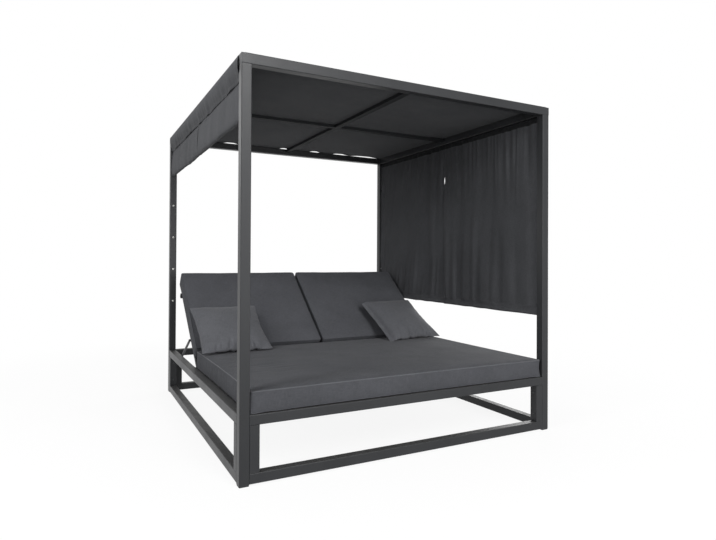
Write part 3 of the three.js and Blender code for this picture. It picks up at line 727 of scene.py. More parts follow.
def cloth_shell(name: str, middle: Array, thickness: Array, cut: Array, rows: Array) -> Piece:
    """Makes a closed cloth of two faces and a rim from its middle surface.

    Args:
        name: the piece's name.
        middle: points of the middle surface, rows by columns by three.
        thickness: thickness at each point.
        cut: flat pattern coordinates at each point.
        rows: stitch row coordinates at each point.

    Returns:
        The object.
    """
    normal = np.cross(np.gradient(middle, axis=1), np.gradient(middle, axis=0))
    normal /= np.maximum(np.linalg.norm(normal, axis=2, keepdims=True), 1e-12)
    offset = normal * (thickness / 2)[..., None]
    points = np.concatenate([(middle + offset).reshape(-1, 3), (middle - offset).reshape(-1, 3)])
    number = np.arange(thickness.size).reshape(thickness.shape)
    other = number + thickness.size
    quads = [grid_quads(number), grid_quads(other[:, ::-1])]
    for line in (slice(None), 0), (slice(None), -1), (0, slice(None)), (-1, slice(None)):
        a, b = number[line], other[line]
        quads.append(np.stack([a[:-1], a[1:], b[1:], b[:-1]], -1))
    pattern = np.concatenate([cut.reshape(-1, 2)] * 2)
    marks = np.concatenate([rows.reshape(-1, rows.shape[-1])] * 2)
    faces = np.concatenate(quads)
    return make_object(name, points, faces, lambda corner, _: pattern[corner], marks)


def closed_tube(name: str, path: Array, radius: float, sides: int = 10) -> Piece:
    """Makes a closed cord along a loop that lies near one plane.

    Args:
        name: the piece's name.
        path: points of the loop, without the first again at the end.
        radius: the cord's radius.
        sides: faces round it.

    Returns:
        The object.
    """
    ahead = np.roll(path, -1, 0) - np.roll(path, 1, 0)
    ahead /= np.linalg.norm(ahead, axis=1, keepdims=True)
    _, _, axes = np.linalg.svd(path - path.mean(0))
    out = np.cross(ahead, axes[2])
    out /= np.linalg.norm(out, axis=1, keepdims=True)
    rise = np.cross(out, ahead)
    turns = np.arange(sides) * 2 * math.pi / sides
    cosines, sines = np.cos(turns)[None, :, None], np.sin(turns)[None, :, None]
    ring = out[:, None] * cosines + rise[:, None] * sines
    points = (path[:, None] + ring * radius).reshape(-1, 3)
    number = np.arange(len(path) * sides).reshape(len(path), sides)
    ahead_of, beside = np.roll(number, -1, 0), np.roll(number, -1, 1)
    faces = np.stack([number, beside, np.roll(ahead_of, -1, 1), ahead_of], -1).reshape(-1, 4)
    travel = along_path(np.concatenate([path, path[:1]]))[:-1]
    pattern = np.stack(np.broadcast_arrays(travel[:, None], turns[None] * radius), -1)
    pattern = pattern.reshape(-1, 2)
    return make_object(name, points, faces, lambda corner, _: pattern[corner])


def stops(start: float, end: float, step: float, extra: Sequence[float] = ()) -> Array:
    """Places between two ends, evenly spread, with some exact ones.

    Args:
        start: the first place.
        end: the last place.
        step: the wished distance.
        extra: places that are hit exactly.

    Returns:
        The places in order.
    """
    count = max(2, round((end - start) / step))
    even = np.linspace(start, end, count + 1)
    for place in extra:
        even = even[np.abs(even - place) > step * 0.3]
    exact = [start, end] + [place for place in extra if start < place < end]
    return np.unique(np.concatenate([even, exact]).round(6))


def stitch_rows(places: Sequence[tuple[Array, Array]]) -> Array:
    """Picks the nearest stitch row at each point.

    Args:
        places: for each row, the distance from it and the place along it.

    Returns:
        Distance and place along, for each point.
    """
    away = np.stack([np.abs(np.broadcast_arrays(a, b)[0]) for a, b in places])
    along = np.stack([np.broadcast_arrays(a, b)[1] for a, b in places])
    nearest = away.argmin(0)[None]
    return np.stack(
        [np.take_along_axis(away, nearest, 0)[0], np.take_along_axis(along, nearest, 0)[0]], -1
    )


def dress(piece: Piece, material: Material) -> Piece:
    """Gives a piece its only material.

    Args:
        piece: the object.
        material: its material.

    Returns:
        The piece.
    """
    piece.data.materials.clear()
    piece.data.materials.append(material)
    log.info("%s: %d faces", piece.name, len(piece.data.polygons))
    return piece


@dataclass(frozen=True)
class Inflation:
    """How a sewn cover is blown up over its filling."""

    pressure: float = 4.0
    slack: float = 0.015
    steps: int = 20
    reach: float = 0.008
    tension: float = 15.0
    bending: float = 0.5
    mass: float = 0.3

    def apply(self, piece: Piece, held: Array | None = None) -> None:
        """Runs the cloth and keeps its shape, each point moved no further than the reach.

        Args:
            piece: a closed mesh at the origin.
            held: how firmly each vertex stays, from zero to one.
        """
        scene = bpy.context.scene
        modifier = piece.modifiers.new("filling", "CLOTH")
        settings = modifier.settings
        settings.quality = 4
        settings.mass = self.mass
        settings.tension_stiffness = self.tension
        settings.compression_stiffness = self.tension
        settings.shear_stiffness = self.tension / 3
        settings.bending_stiffness = self.bending
        settings.use_pressure = True
        settings.uniform_pressure_force = self.pressure
        settings.shrink_min = -self.slack
        settings.effector_weights.gravity = 0.0
        if held is not None:
            group = piece.vertex_groups.new(name="held")
            levels = held.round(2)
            for level in np.unique(levels[levels > 0]):
                group.add(np.flatnonzero(levels == level).tolist(), float(level), "REPLACE")
            settings.vertex_group_mass = group.name
        modifier.collision_settings.use_collision = False
        modifier.point_cache.frame_start = 1
        modifier.point_cache.frame_end = self.steps
        before = read_points(piece.data)
        for step in range(1, self.steps + 1):
            scene.frame_set(step)
        graph = bpy.context.evaluated_depsgraph_get()
        shaped = piece.evaluated_get(graph).to_mesh()
        after = read_points(shaped)
        piece.evaluated_get(graph).to_mesh_clear()
        piece.modifiers.remove(modifier)
        scene.frame_set(1)
        move = after - before
        far = np.linalg.norm(move, axis=1, keepdims=True)
        move *= self.reach * np.tanh(far / self.reach) / np.maximum(far, 1e-9)
        write_points(piece.data, before + move)
        piece.vertex_groups.clear()


def read_points(mesh: bpy.types.Mesh) -> Array:
    """Reads a mesh's vertices.

    Args:
        mesh: the mesh.

    Returns:
        One row for each vertex.
    """
    values = np.zeros(len(mesh.vertices) * 3, np.float32)
    mesh.vertices.foreach_get("co", values)
    return values.reshape(-1, 3).astype(float)


def write_points(mesh: bpy.types.Mesh, points: Array) -> None:
    """Writes a mesh's vertices.

    Args:
        mesh: the mesh.
        points: one row for each vertex.
    """
    mesh.vertices.foreach_set("co", points.astype(np.float32).ravel())
    mesh.update()


def subdivide(piece: Piece) -> None:
    """Adds one smooth subdivision.

    Args:
        piece: the object.
    """
    bpy.ops.object.select_all(action="DESELECT")
    piece.select_set(True)
    bpy.context.view_layer.objects.active = piece
    modifier = piece.modifiers.new("round", "SUBSURF")
    modifier.levels = modifier.render_levels = 1
    modifier.uv_smooth = "NONE"
    bpy.ops.object.modifier_apply(modifier=modifier.name)


# -------- Cushions --------


@dataclass
class BoxedCushion:
    """Foam block in a sewn cover: two panels, a boxing strip and piping on its seams."""

    width: float
    depth: float
    thickness: float
    crown: float
    creases: Callable[[Array, Array], Array]
    step: float
    draw_in: float
    edge: float = 0.017
    edge_lines: tuple[float, ...] = (0.3, 0.62, 1.0)
    inset: float = 0.0045
    bottom_square: float = 0.0
    seam_sink: float = 0.0016
    seam_width: float = 0.006
    seam_rise: float = 0.75
    piping: float = 0.0029
    piping_step: float = 0.008
    piping_rise: float = 0.55
    inflation: Inflation = Inflation(reach=0.005, slack=0.004)

    @property
    def halves(self) -> Array:
        """Half sizes.

        Returns:
            Half the size along each axis.
        """
        return np.array([self.width, self.depth, self.thickness]) / 2

    def places(self, axis: int) -> Array:
        """Places of the mesh lines along an axis.

        Args:
            axis: zero, one or two.

        Returns:
            The places, closer together at the rounded edges.
        """
        inner = self.halves[axis] - self.edge
        rounding = self.edge * np.array(self.edge_lines)
        middle = stops(-inner, inner, self.step)
        return np.concatenate([-(inner + rounding[::-1]), middle, inner + rounding])

    def shape(self, raw: Array) -> Array:
        """Bends points of a sharp box to the crowned cushion.

        Args:
            raw: points on the box.

        Returns:
            The same points on the cushion.
        """
        halves = self.halves
        core = np.clip(raw, self.edge - halves, halves - self.edge)
        away = raw - core
        length = np.linalg.norm(away, axis=1, keepdims=True)
        away *= np.abs(away).max(1, keepdims=True) / np.maximum(length, 1e-9)
        u, v = raw[:, 0] / halves[0], raw[:, 1] / halves[1]
        point = core + away
        flatter = self.bottom_square * smooth(raw[:, 2:], 0.0, -halves[2])
        flatter *= smooth(np.abs(raw[:, :1]), halves[0] - 0.07, halves[0] - 0.03)
        point += (raw - point) * flatter
        point[:, 0] *= 1 - self.draw_in / halves[0] * np.maximum(0, 1 - v * v)
        point[:, 1] *= 1 - self.draw_in / halves[1] * np.maximum(0, 1 - u * u)
        rise = self.crown * (1 - u**4) * (1 - v**4) * raw[:, 2] / halves[2]
        point[:, 2] += np.where(raw[:, 2] > 0, rise, 0)
        return point

    def blank(self) -> tuple[Array, Array, Array]:
        """Lays out the box's grid.

        Returns:
            Its points, its faces and the number of the side that each face is on.
        """
        lines = [self.places(axis) for axis in range(3)]
        chunks, quads, sides = [], [], []
        base = 0
        for fixed in range(3):
            a, b = [axis for axis in range(3) if axis != fixed]
            for sign in (-1, 1):
                first, second = np.meshgrid(lines[a], lines[b])
                raw = np.zeros((*first.shape, 3))
                raw[..., a], raw[..., b], raw[..., fixed] = first, second, sign * self.halves[fixed]
                quad = grid_quads(np.arange(first.size).reshape(first.shape) + base)
                outward = (-sign if fixed == 1 else sign) > 0
                quads.append(quad if outward else quad[:, ::-1])
                sides.append(np.full(len(quad), fixed))
                chunks.append(raw.reshape(-1, 3))
                base += first.size
        raw, back = np.unique(np.concatenate(chunks).round(7), axis=0, return_inverse=True)
        return raw, back.reshape(-1)[np.concatenate(quads)], np.concatenate(sides)

    def seam(self, raw: Array, top: bool) -> Array:
        """Finds the seam's vertices in order round the cushion.

        Args:
            raw: the points of the box.
            top: the upper seam, or else the lower one.

        Returns:
            Vertex numbers.
        """
        x, y, z = self.halves
        on = np.isclose(raw[:, 2], z if top else -z, atol=TOLERANCE)
        loop: list[int] = []
        for axis, fixed, sign in ((0, -y, 1), (1, x, 1), (0, y, -1), (1, -x, -1)):
            found = np.flatnonzero(on & np.isclose(raw[:, 1 - axis], fixed, atol=TOLERANCE))
            order = found[np.argsort(sign * raw[found, axis])]
            loop += [int(n) for n in order if n not in loop]
        return np.array(loop)

    def build(self, name: str, turn: Matrix) -> tuple[Piece, list[Piece]]:
        """Models the cushion and its piping.

        Args:
            name: the piece's name.
            turn: takes the cushion from about the origin to its place.

        Returns:
            The cushion and its pipings.
        """
        raw, faces, sides = self.blank()
        nominal = self.shape(raw)
        others = np.array([[1, 2], [0, 2], [0, 1]])
        cut = lambda corner, owner: np.take_along_axis(raw[corner], others[sides[owner]], 1)
        piece = make_object(name, nominal, faces, cut, recalculate=False)
        outward = np.zeros(len(raw) * 3, np.float32)
        piece.data.vertices.foreach_get("normal", outward)
        outward = outward.reshape(-1, 3)
        x, y, z = self.halves
        on_panel = np.isclose(np.abs(raw[:, 2]), z, atol=TOLERANCE)
        to_edge = np.minimum(x - np.abs(raw[:, 0]), y - np.abs(raw[:, 1]))
        seam_distance = np.where(on_panel, to_edge, z - np.abs(raw[:, 2]))
        start = nominal - outward * self.inset
        seam_sink = self.seam_sink * np.exp(-seam_distance / self.seam_width)
        ridge = (self.seam_rise * self.inset - seam_sink) * hump(seam_distance, 0, 0.01)
        write_points(piece.data, start + outward * ridge[:, None])
        self.inflation.apply(piece, held=smooth(seam_distance, 0.022, 0.004))
        points = read_points(piece.data)
        points += outward * self.creases(raw, seam_distance)[:, None]
        write_points(piece.data, points)
        loops = [self.seam(raw, top) for top in (True, False)]
        paths = [points[loop] + outward[loop] * self.piping * self.piping_rise for loop in loops]
        subdivide(piece)
        pipings = [
            closed_tube(f"{name}_piping_{word}", even_loop(path, self.piping_step), self.piping)
            for word, path in zip(("upper", "lower"), paths)
        ]
        for part in (piece, *pipings):
            part.data.transform(turn)
        return piece, pipings


def even_loop(path: Array, step: float) -> Array:
    """Spreads the points of a closed loop evenly and smooths them.

    Args:
        path: points of the loop.
        step: the wished distance.

    Returns:
        The new points.
    """
    closed = np.concatenate([path, path[:1]])
    travel = along_path(closed)
    wanted = np.linspace(0, travel[-1], round(travel[-1] / step), endpoint=False)
    new = np.stack([np.interp(wanted, travel, closed[:, axis]) for axis in range(3)], -1)
    for _ in range(2):
        new = (np.roll(new, 1, 0) + 2 * new + np.roll(new, -1, 0)) / 4
    return new


@dataclass
class Mattress:
    """The seat cushion that covers the deck and the front rail."""

    width: float = 1.896
    depth: float = 1.259
    thickness: float = 0.112
    middle: Point = (0.0, -0.4165, 0.3915)

    @staticmethod
    def creases(raw: Array, seam: Array) -> Array:
        """Stretch lines at the left rear and slack at the corners.

        Args:
            raw: points of the box.
            seam: distance from the seam.

        Returns:
            How far each point moves outwards.
        """
        x, y, z = raw.T
        top = z > 0.05
        fine = Ripple(11).at(x * 3.2 + y * 0.6, y * 46 + x * 3)
        left = smooth(x, -0.25, -0.7) * smooth(y, -0.5, -0.1) * smooth(seam, 0.01, 0.08)
        stretched = -0.0019 * np.abs(fine) * left
        settled = 0.0016 * (Ripple(12).at(x * 5, y * 5) - 1.0) * smooth(seam, 0.02, 0.2)
        front = (~top) & (y < -0.6)
        slack = Ripple(13).at(x * 26, z * 9) * smooth(np.abs(x), 0.55, 0.93) * front
        pull = Ripple(14).at(x * 9 + y * 7, y * 9 - x * 7) * smooth(seam, 0.0, 0.03)
        return top * (stretched + settled) + 0.0016 * slack + 0.0007 * (pull - 0.8)

    def build(self, cloth: Material, highlight_trim: Material) -> None:
        """Models and dresses the mattress, with a lighter upper piping as a painted highlight.

        Args:
            cloth: the cushion cloth.
            highlight_trim: the piping cloth.
        """
        shape = BoxedCushion(
            self.width, self.depth, self.thickness, crown=0.012, creases=self.creases,
            step=0.0125, draw_in=0.007, bottom_square=0.6,
        )
        piece, pipings = shape.build("mattress", Matrix.Translation(self.middle))
        dress(piece, cloth)
        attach(piece, "base")
        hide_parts("seat_cushion")
        # The upper piping takes the lighter cloth as a painted highlight on the top seam; the lower
        # piping takes the cushion cloth.
        for piping, finish in zip(pipings, (highlight_trim, cloth)):
            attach(dress(piping, finish), "base")


@dataclass
class BackCushions:
    """The two cushions on the reclining backs."""

    width: float = 0.943
    length: float = 0.789
    thickness: float = 0.115
    recline: float = math.radians(39.5)
    hinge: Point = (0.0, 0.25, 0.318)
    start: float = 0.068
    above_frame: float = 0.018
    centre_gap: float = 0.005

    @staticmethod
    def creases(raw: Array, seam: Array) -> Array:
        """Soft unevenness of a well filled panel.

        Args:
            raw: points of the box.
            seam: distance from the seam.

        Returns:
            How far each point moves outwards.
        """
        x, y, z = raw.T
        broad = Ripple(21).at(x * 6 + z, y * 6)
        pull = Ripple(22).at(x * 11 - y * 8, y * 11 + x * 8)
        lower = smooth(y, -0.15, -0.39) * np.abs(Ripple(23).at(x * 4, y * 40))
        settled = 0.0013 * (broad - 1) * smooth(seam, 0, 0.15)
        return settled + 0.0006 * (pull - 0.8) - 0.0008 * lower * (z > 0.05)

    def build(self, cloth: Material) -> None:
        """Models one cushion for each side.

        Args:
            cloth: the cushion cloth.
        """
        shape = BoxedCushion(
            self.width, self.length, self.thickness, crown=0.009, creases=self.creases,
            step=0.011, draw_in=0.004,
        )
        tilt = Matrix.Translation(self.hinge) @ Matrix.Rotation(self.recline, 4, "X")
        middle_y = self.start + self.length / 2
        middle_z = self.above_frame + self.thickness / 2
        stem = "pattern_pad"
        piece, pipings = shape.build(stem, Matrix.Identity(4))
        first = [piece, *pipings]
        for side in Side:
            x = side.value * (self.centre_gap + self.width / 2)
            turn = tilt @ Matrix.Translation((x, middle_y, middle_z))
            name = f"backrest_pad_{side.word}"
            parts = [copy_piece(part, part.name.replace(stem, name)) for part in first]
            for part in parts:
                if side is Side.RIGHT:
                    part.data.transform(Matrix.Scale(-1, 4, (1, 0, 0)))
                    part.data.flip_normals()
                part.data.transform(turn)
                dress(part, cloth)
                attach(part, f"{side.word}_back_pad")
            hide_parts(f"back_cushion_{side.word}")
        for part in first:
            bpy.data.objects.remove(part)


def copy_piece(piece: Piece, name: str) -> Piece:
    """Copies a piece with a mesh of its own.

    Args:
        piece: the piece to copy.
        name: the copy's name.

    Returns:
        The copy.
    """
    twin = bpy.data.objects.new(name, piece.data.copy())
    bpy.context.scene.collection.objects.link(twin)
    return twin


@dataclass
class ScatterPillow:
    """Loose pillow: a sewn bag of two squares, leaning on the back.

    Each pull is a crease that rises from the lower edge: its place and lean in half widths,
    its length in half heights and its depth in metres.
    """

    side: Side
    centre_x: float
    turn: float
    seed: int
    empty_margin: float = 0.03
    width: float = 0.48
    height: float = 0.50
    thickness: float = 0.15
    edge_thickness: float = 0.003
    sag: float = 0.010
    draw_in: float = 0.009
    fullness: float = 0.55
    front_fullness: float = 0.43
    solid_draw_in: float = 0.020
    solid_spread: float = 0.8
    solid_cells: int = 12
    lean: float = math.radians(31.5)
    edge_y: float = -0.025
    clearance: float = 0.0004
    cells: int = 76
    seam_allowance: float = 0.006
    on_rim: float = 0.9999
    blown_share: float = 0.42
    blown_outline: float = 0.12
    pulls: tuple[tuple[float, float, float, float], ...] = (
        (-0.22, 0.1, 0.46, 0.014), (0.06, -0.12, 0.34, 0.011),
        (0.52, -0.2, 0.36, 0.011), (-0.62, 0.25, 0.34, 0.009),
    )
    filling: Inflation = Inflation(
        pressure=7.0, slack=0.0, steps=34, reach=0.25, tension=12.0, bending=0.08, mass=0.2
    )

    def solid_point(
        self, u: Array, v: Array, draw_in: float, margin: float, fullness: float | Array
    ) -> Array:
        """Places a point on the front as the pillow's solid does, before it is set down.

        Args:
            u: share of the half width.
            v: share of the half height.
            draw_in: how far the middle of each side is drawn in.
            margin: share of the half width that stays empty at the left side.
            fullness: how steeply the sides rise.

        Returns:
            Points about the pillow's lower edge, not yet turned.
        """
        filled = np.where(u < 0, np.clip((1 + u - margin) / (1 - margin), 0, 1) - 1, u)
        full = np.maximum(0, (1 - filled**2) * (1 - v * v)) ** fullness
        thick = self.edge_thickness / 2 + (self.thickness - self.edge_thickness) / 2 * full
        across = u * (self.width / 2 - draw_in * (1 - v * v))
        along = self.height / 2 + v * (self.height / 2 - draw_in * (1 - u * u))
        return np.stack([across, along, thick], -1)

    def bow(self, share: Array) -> Array:
        """How far the pillow bends towards the back.

        Args:
            share: share of its height, from the lower edge.

        Returns:
            The bend in metres.
        """
        return self.sag * np.sin(math.pi * share)

    def leaned(self, points: Array) -> Array:
        """Leans and turns points.

        Args:
            points: points about the lower edge.

        Returns:
            Points in the frame, but for their height.
        """
        turn = Matrix.Rotation(self.turn, 3, "Z") @ Matrix.Rotation(self.lean, 3, "X")
        return points @ np.array(turn).T + np.array([self.centre_x, self.edge_y, 0])

    def rise(self) -> float:
        """Compares the leaned solid with its node in the frame.

        Returns:
            How far leaned points rise to lie at the node's height.
        """
        even = np.linspace(0, 1, self.solid_cells + 1)
        bent = np.sign(even * 2 - 1) * np.abs(even * 2 - 1) ** self.solid_spread
        u, v = (grid.ravel() for grid in np.meshgrid(bent, bent))
        rest = self.solid_point(u, v, self.solid_draw_in, 0.0, self.fullness)
        rest[:, 2] = -rest[:, 2]
        rest[:, 2] -= self.bow(np.repeat(even, len(even)))
        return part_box(f"pillow_{self.side.word}")[0].z - self.leaned(rest)[:, 2].min()

    def bag(self) -> tuple[Piece, Array]:
        """Sews the flat bag and blows it up.

        Returns:
            The bag about its middle, and each vertex's pattern place with its face's sign.
        """
        line = np.linspace(-1, 1, self.cells + 1)
        line = np.sign(line) * np.abs(line) ** 0.9
        u, v = np.meshgrid(line, line)
        rim = (np.abs(u) > self.on_rim) | (np.abs(v) > self.on_rim)
        number = np.arange(u.size).reshape(u.shape)
        under = np.where(rim, number, number + u.size)
        faces = np.concatenate([grid_quads(number), grid_quads(under)[:, ::-1]])
        used, back = np.unique(faces, return_inverse=True)
        faces = back.reshape(faces.shape)
        sheets = [np.stack([u, v, np.full_like(u, sign)], -1).reshape(-1, 3) for sign in (1, -1)]
        marks = np.concatenate(sheets)[used]
        marks[:, 2] *= np.abs(marks[:, :2]).max(1) <= self.on_rim
        u, v, face = marks.T
        lift = 0.012 * (1 - u**2) * (1 - v**2)
        noise = Ripple(self.seed).at(u * 14, v * 14) * 0.0008
        points = np.stack(
            [u * self.width * 0.51, v * self.height * 0.51, face * (lift + 0.001 + noise)], -1
        )
        scale = np.array([self.width / 2, self.height / 2])
        cut = lambda corner, _: marks[corner, :2] * scale
        from_edge = np.minimum(1 - np.abs(u), 1 - np.abs(v)) * self.width / 2
        along = np.where(np.abs(u) > np.abs(v), v, u) * self.width / 2
        rows = np.stack([np.abs(from_edge - self.seam_allowance), along], -1)
        name = f"scatter_pillow_{self.side.word}"
        piece = make_object(name, points, faces, cut, rows, recalculate=False)
        self.filling.apply(piece)
        return piece, marks

    def filled(self, piece: Piece, marks: Array) -> tuple[Array, Array]:
        """Joins the solid's form with that of the blown bag.

        Args:
            piece: the bag.
            marks: each vertex's pattern place with its face's sign.

        Returns:
            Points about the lower edge, and the solid's half thickness at each.
        """
        u, v, face = marks.T
        steep = np.where(face > 0, self.front_fullness, self.fullness)
        solid = self.solid_point(u, v, self.draw_in, self.empty_margin, steep)
        solid[:, 2] *= face
        points = solid.copy()
        blown = read_points(piece.data)
        reach = np.abs(blown).max(0)
        blown *= np.array([self.width / 2, self.height / 2, self.thickness / 2]) / reach
        blown[:, 1] += self.height / 2
        inside = smooth(1 + u, self.empty_margin, 0.04 + 2.0 * self.empty_margin)
        outline = np.full_like(u, self.blown_outline)
        points += (blown - solid) * np.stack([outline, outline, self.blown_share * inside], -1)
        return points, np.abs(solid[:, 2])

    def crease(self, points: Array, marks: Array, limit: Array) -> None:
        """Adds fine wrinkles, the pulls and the tucks at their feet, in place.

        Args:
            points: points about the lower edge.
            marks: each vertex's pattern place with its face's sign.
            limit: the solid's half thickness at each point.
        """
        u, v, face = marks.T
        fine = Ripple(self.seed + 5).at(u * 13, v * 3) * 0.003 * smooth(-v, 0.45, 0.95)
        fine += Ripple(self.seed + 6).at(u * 3, v * 15) * 0.002 * smooth(np.abs(u), 0.6, 0.95)
        pulls, tucks = 0, 0
        for place, lean, length, depth in self.pulls:
            across = u - lean * (v + 1)
            furrow = hump(across, place, 0.04) - 0.7 * hump(across, place + 0.085, 0.05)
            pulls = pulls + depth * furrow * smooth(-v, 1 - length, 0.96)
            tucks = tucks + depth * hump(u, place + 0.03, 0.05)
        inner = smooth(1 - np.maximum(np.abs(u), np.abs(v)), 0.0, 0.09)
        points[:, 2] -= face * (pulls - fine) * inner
        points[:, 1] += 0.75 * tucks * smooth(-v, 0.78, 1.0)
        points[:, 1] += 0.0035 * Ripple(self.seed + 7).at(u * 6, v * 0) * smooth(-v, 0.7, 1.0)
        most = limit * np.where(face < 0, 1.0, 1.06)
        points[:, 2] = np.sign(face) * np.clip(np.abs(points[:, 2]), 0.0008, most) * (face != 0)
        flat_corner = self.empty_margin > 0.1
        points[:, 2] -= 0.016 * smooth(-u, 1 - 1.3 * self.empty_margin, 1.0) * flat_corner

    def build(self, cloth: Material) -> None:
        """Models the pillow, sets it down and dresses it.

        Args:
            cloth: the pillow cloth.
        """
        piece, marks = self.bag()
        points, limit = self.filled(piece, marks)
        self.crease(points, marks, limit)
        points[:, 2] -= self.bow(np.clip(points[:, 1] / self.height, 0, 1))
        world = self.leaned(points)
        world[:, 2] += self.rise() + self.clearance
        write_points(piece.data, world)
        subdivide(piece)
        dress(piece, cloth)
        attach(piece, f"{self.side.word}_pillow")
        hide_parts(f"pillow_{self.side.word}")


# -------- Canopy --------


@dataclass
class RoofCover:
    """One sheet over the top frame, with a flap down each side between the posts.

    On the flat pattern, s is the distance across from the middle and t the one along.
    """

    half_width: float = 1.0
    half_depth: float = 1.05
    inner_x: float = 0.95
    inner_y: float = 1.0
    top: float = 2.05
    curtain_top: float = 2.0
    clearance: float = 0.0004
    thickness: float = 0.0012
    fold: float = 0.0034
    flap: float = 0.118
    flap_half: float = 0.998
    # Darkening of each flap's lower part: painted shade below the rail.
    flap_tone: float = 0.2
    setback: float = 0.004
    bar_sag: float = 0.005
    field_sag: float = 0.009
    loose_sag: float = 0.0016
    hem: float = 0.018
    seam: float = 0.011
    rim: float = 0.002
    step: float = 0.017
    tuck_left: float = 0.018
    tuck_right: float = 0.012
    rear_lift: float = 0.0205
    rear_spots: tuple[Point, ...] = (
        (-0.50, 0.07, 0.95), (-0.02, 0.05, 0.88), (0.28, 0.055, 1.0), (0.53, 0.07, 1.0),
        (0.8, 0.16, 0.97),
    )

    def __post_init__(self) -> None:
        """Works out distances on the pattern: to the folds, the flaps' hems and the end hems."""
        self.flat = self.half_width + self.clearance + self.thickness / 2 - self.fold
        self.arc = self.fold * math.pi / 2
        self.reach = self.flat + self.arc + self.flap - self.fold
        self.edge = self.half_depth - self.setback

    def pattern(self) -> tuple[Array, Array]:
        """Lays the mesh lines out on the flat pattern.

        Returns:
            Distances across and along at each crossing of the lines.
        """
        flat, arc, reach, edge, rim = self.flat, self.arc, self.reach, self.edge, self.rim
        exact = [
            self.seam - rim, self.seam, self.seam + rim, reach - self.hem, reach - rim,
            flat, flat + arc / 3, flat + 2 * arc / 3, flat + arc,
        ]
        right = stops(0.0, reach, self.step, exact)
        across = np.concatenate([-right[:0:-1], right])
        exact = [-edge + rim, self.hem - edge, edge - self.hem, edge - rim]
        s, t = np.meshgrid(across, stops(-edge, edge, self.step, exact))
        return s, t

    def surface(self, s: Array, t: Array) -> tuple[Array, Array]:
        """Lays the pattern over the frame.

        Args:
            s: distances across.
            t: distances along.

        Returns:
            The middle surface, and how far each point is below the top.
        """
        height = self.top + self.clearance + self.thickness / 2
        sign, away = np.sign(s), np.abs(s)
        over = away - self.flat
        turn = np.clip(over / self.fold, 0, math.pi / 2)
        drop = self.fold * (1 - np.cos(turn)) + np.maximum(0, over - self.arc)
        narrow = smooth(away, self.half_width - 0.012, self.half_width - 0.004)
        y = t * (1 - narrow * (1 - self.flap_half / self.edge))
        depth = np.clip(drop / self.flap, 0, 1)
        wave = self.flap_wave(y, sign)
        swell = 0.004 * np.sin(np.pi * np.clip(depth / 0.45, 0, 1))
        swell = swell + wave * smooth(depth, 0.12, 0.75)
        below_rail = self.top - self.curtain_top - 0.004
        tuck = np.where(s < 0, self.tuck_left, self.tuck_right)
        tuck = -tuck * smooth(drop, below_rail, self.flap * 0.97)
        swell = np.maximum(swell, 0.0) * (drop > self.fold * 0.9)
        x = sign * (np.minimum(away, self.flat) + self.fold * np.sin(turn) + swell + tuck)
        z = height - drop - self.sag(x, y) * (away <= self.flat)
        z += self.lift(x, y) * smooth(self.flat - away, 0.0, 0.05)
        z += 0.0012 * Ripple(34).at(y * 6 + 3, sign * 5 + 9) * depth**3
        return np.stack([x, y, z], -1), drop

    def layers(self, s: Array, t: Array) -> Array:
        """How thick the cloth is, doubled along the seam and hems.

        Args:
            s: distances across.
            t: distances along.

        Returns:
            Thickness at each point.
        """
        across, along = np.abs(s), np.abs(t)
        thick = np.where(across <= self.seam + TOLERANCE, self.thickness * 1.7, self.thickness)
        for depth, share in ((self.hem, 2), (0.0, 1.2)):
            inner = -depth - TOLERANCE
            within = (across >= self.reach + inner) | (along >= self.edge + inner)
            thick[within] = self.thickness * share
        return thick

    def rows(self, s: Array, t: Array, drop: Array) -> Array:
        """Stitch rows of the seam and hems, and painted shade on the flaps' lower part.

        Args:
            s: distances across.
            t: distances along.
            drop: how far each point is below the top.

        Returns:
            Distance from a row, place along it and painted shade.
        """
        across = np.abs(s)
        rows = stitch_rows([
            (across - self.seam + self.rim, t),
            (across - self.reach + self.hem, t),
            (np.abs(t) - self.edge + self.hem, s),
        ])
        below_rail = self.top - self.curtain_top - 0.006
        # Painted shade: each flap darkens from just below the rail down towards its hem.
        tone = 1 - self.flap_tone * smooth(drop, below_rail, self.flap * 0.8)
        return np.concatenate([rows, tone[..., None]], -1)

    def build(self, cloth: Material) -> None:
        """Models and dresses the cover.

        Args:
            cloth: the canopy cloth.
        """
        s, t = self.pattern()
        middle, drop = self.surface(s, t)
        cut = np.stack([middle[..., 1], s], -1)
        piece = cloth_shell("canopy_roof", middle, self.layers(s, t), cut, self.rows(s, t, drop))
        dress(piece, cloth)
        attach(piece, "base")
        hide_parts("roof_cover")

    def sag(self, x: Array, y: Array) -> Array:
        """How far the cloth hangs below the rails' tops.

        Args:
            x: places across.
            y: places along.

        Returns:
            The drop in metres.
        """
        u = np.clip(np.abs(x) / self.inner_x, 0, 1)
        v = np.clip(np.abs(y) / self.inner_y, 0, 1)
        on_bars = smooth(1 - u, 0, 0.22) * smooth(1 - v, 0, 0.22)
        field = np.abs(np.sin(math.pi * u) * np.sin(math.pi * v))
        loose = self.loose_sag * (Ripple(31).at(x * 7, y * 3) + 1.2) * field
        return self.bar_sag * on_bars + self.field_sag * field + loose

    def lift(self, x: Array, y: Array) -> Array:
        """The rear edge stands off its rail at the rear spots: place, width and share of each.

        Args:
            x: places across.
            y: places along.

        Returns:
            The rise in metres.
        """
        along = sum(share * hump(x, centre, width) for centre, width, share in self.rear_spots)
        return self.rear_lift * np.clip(along, 0, 1) * smooth(y, 0.955, 1.046)

    @staticmethod
    def flap_wave(y: Array, sign: Array) -> Array:
        """Uneven wrinkles of a flap.

        Args:
            y: places along it.
            sign: which side it is on.

        Returns:
            How far it stands off at its hem.
        """
        noise = Ripple(32)
        broad = 0.0026 * noise.at(y * 17 + 3, sign * 3 + 7)
        fine = 0.0044 * (np.abs(noise.at(y * 43 + 9, sign * 5 + 20)) - 0.5)
        return 0.003 + broad + fine


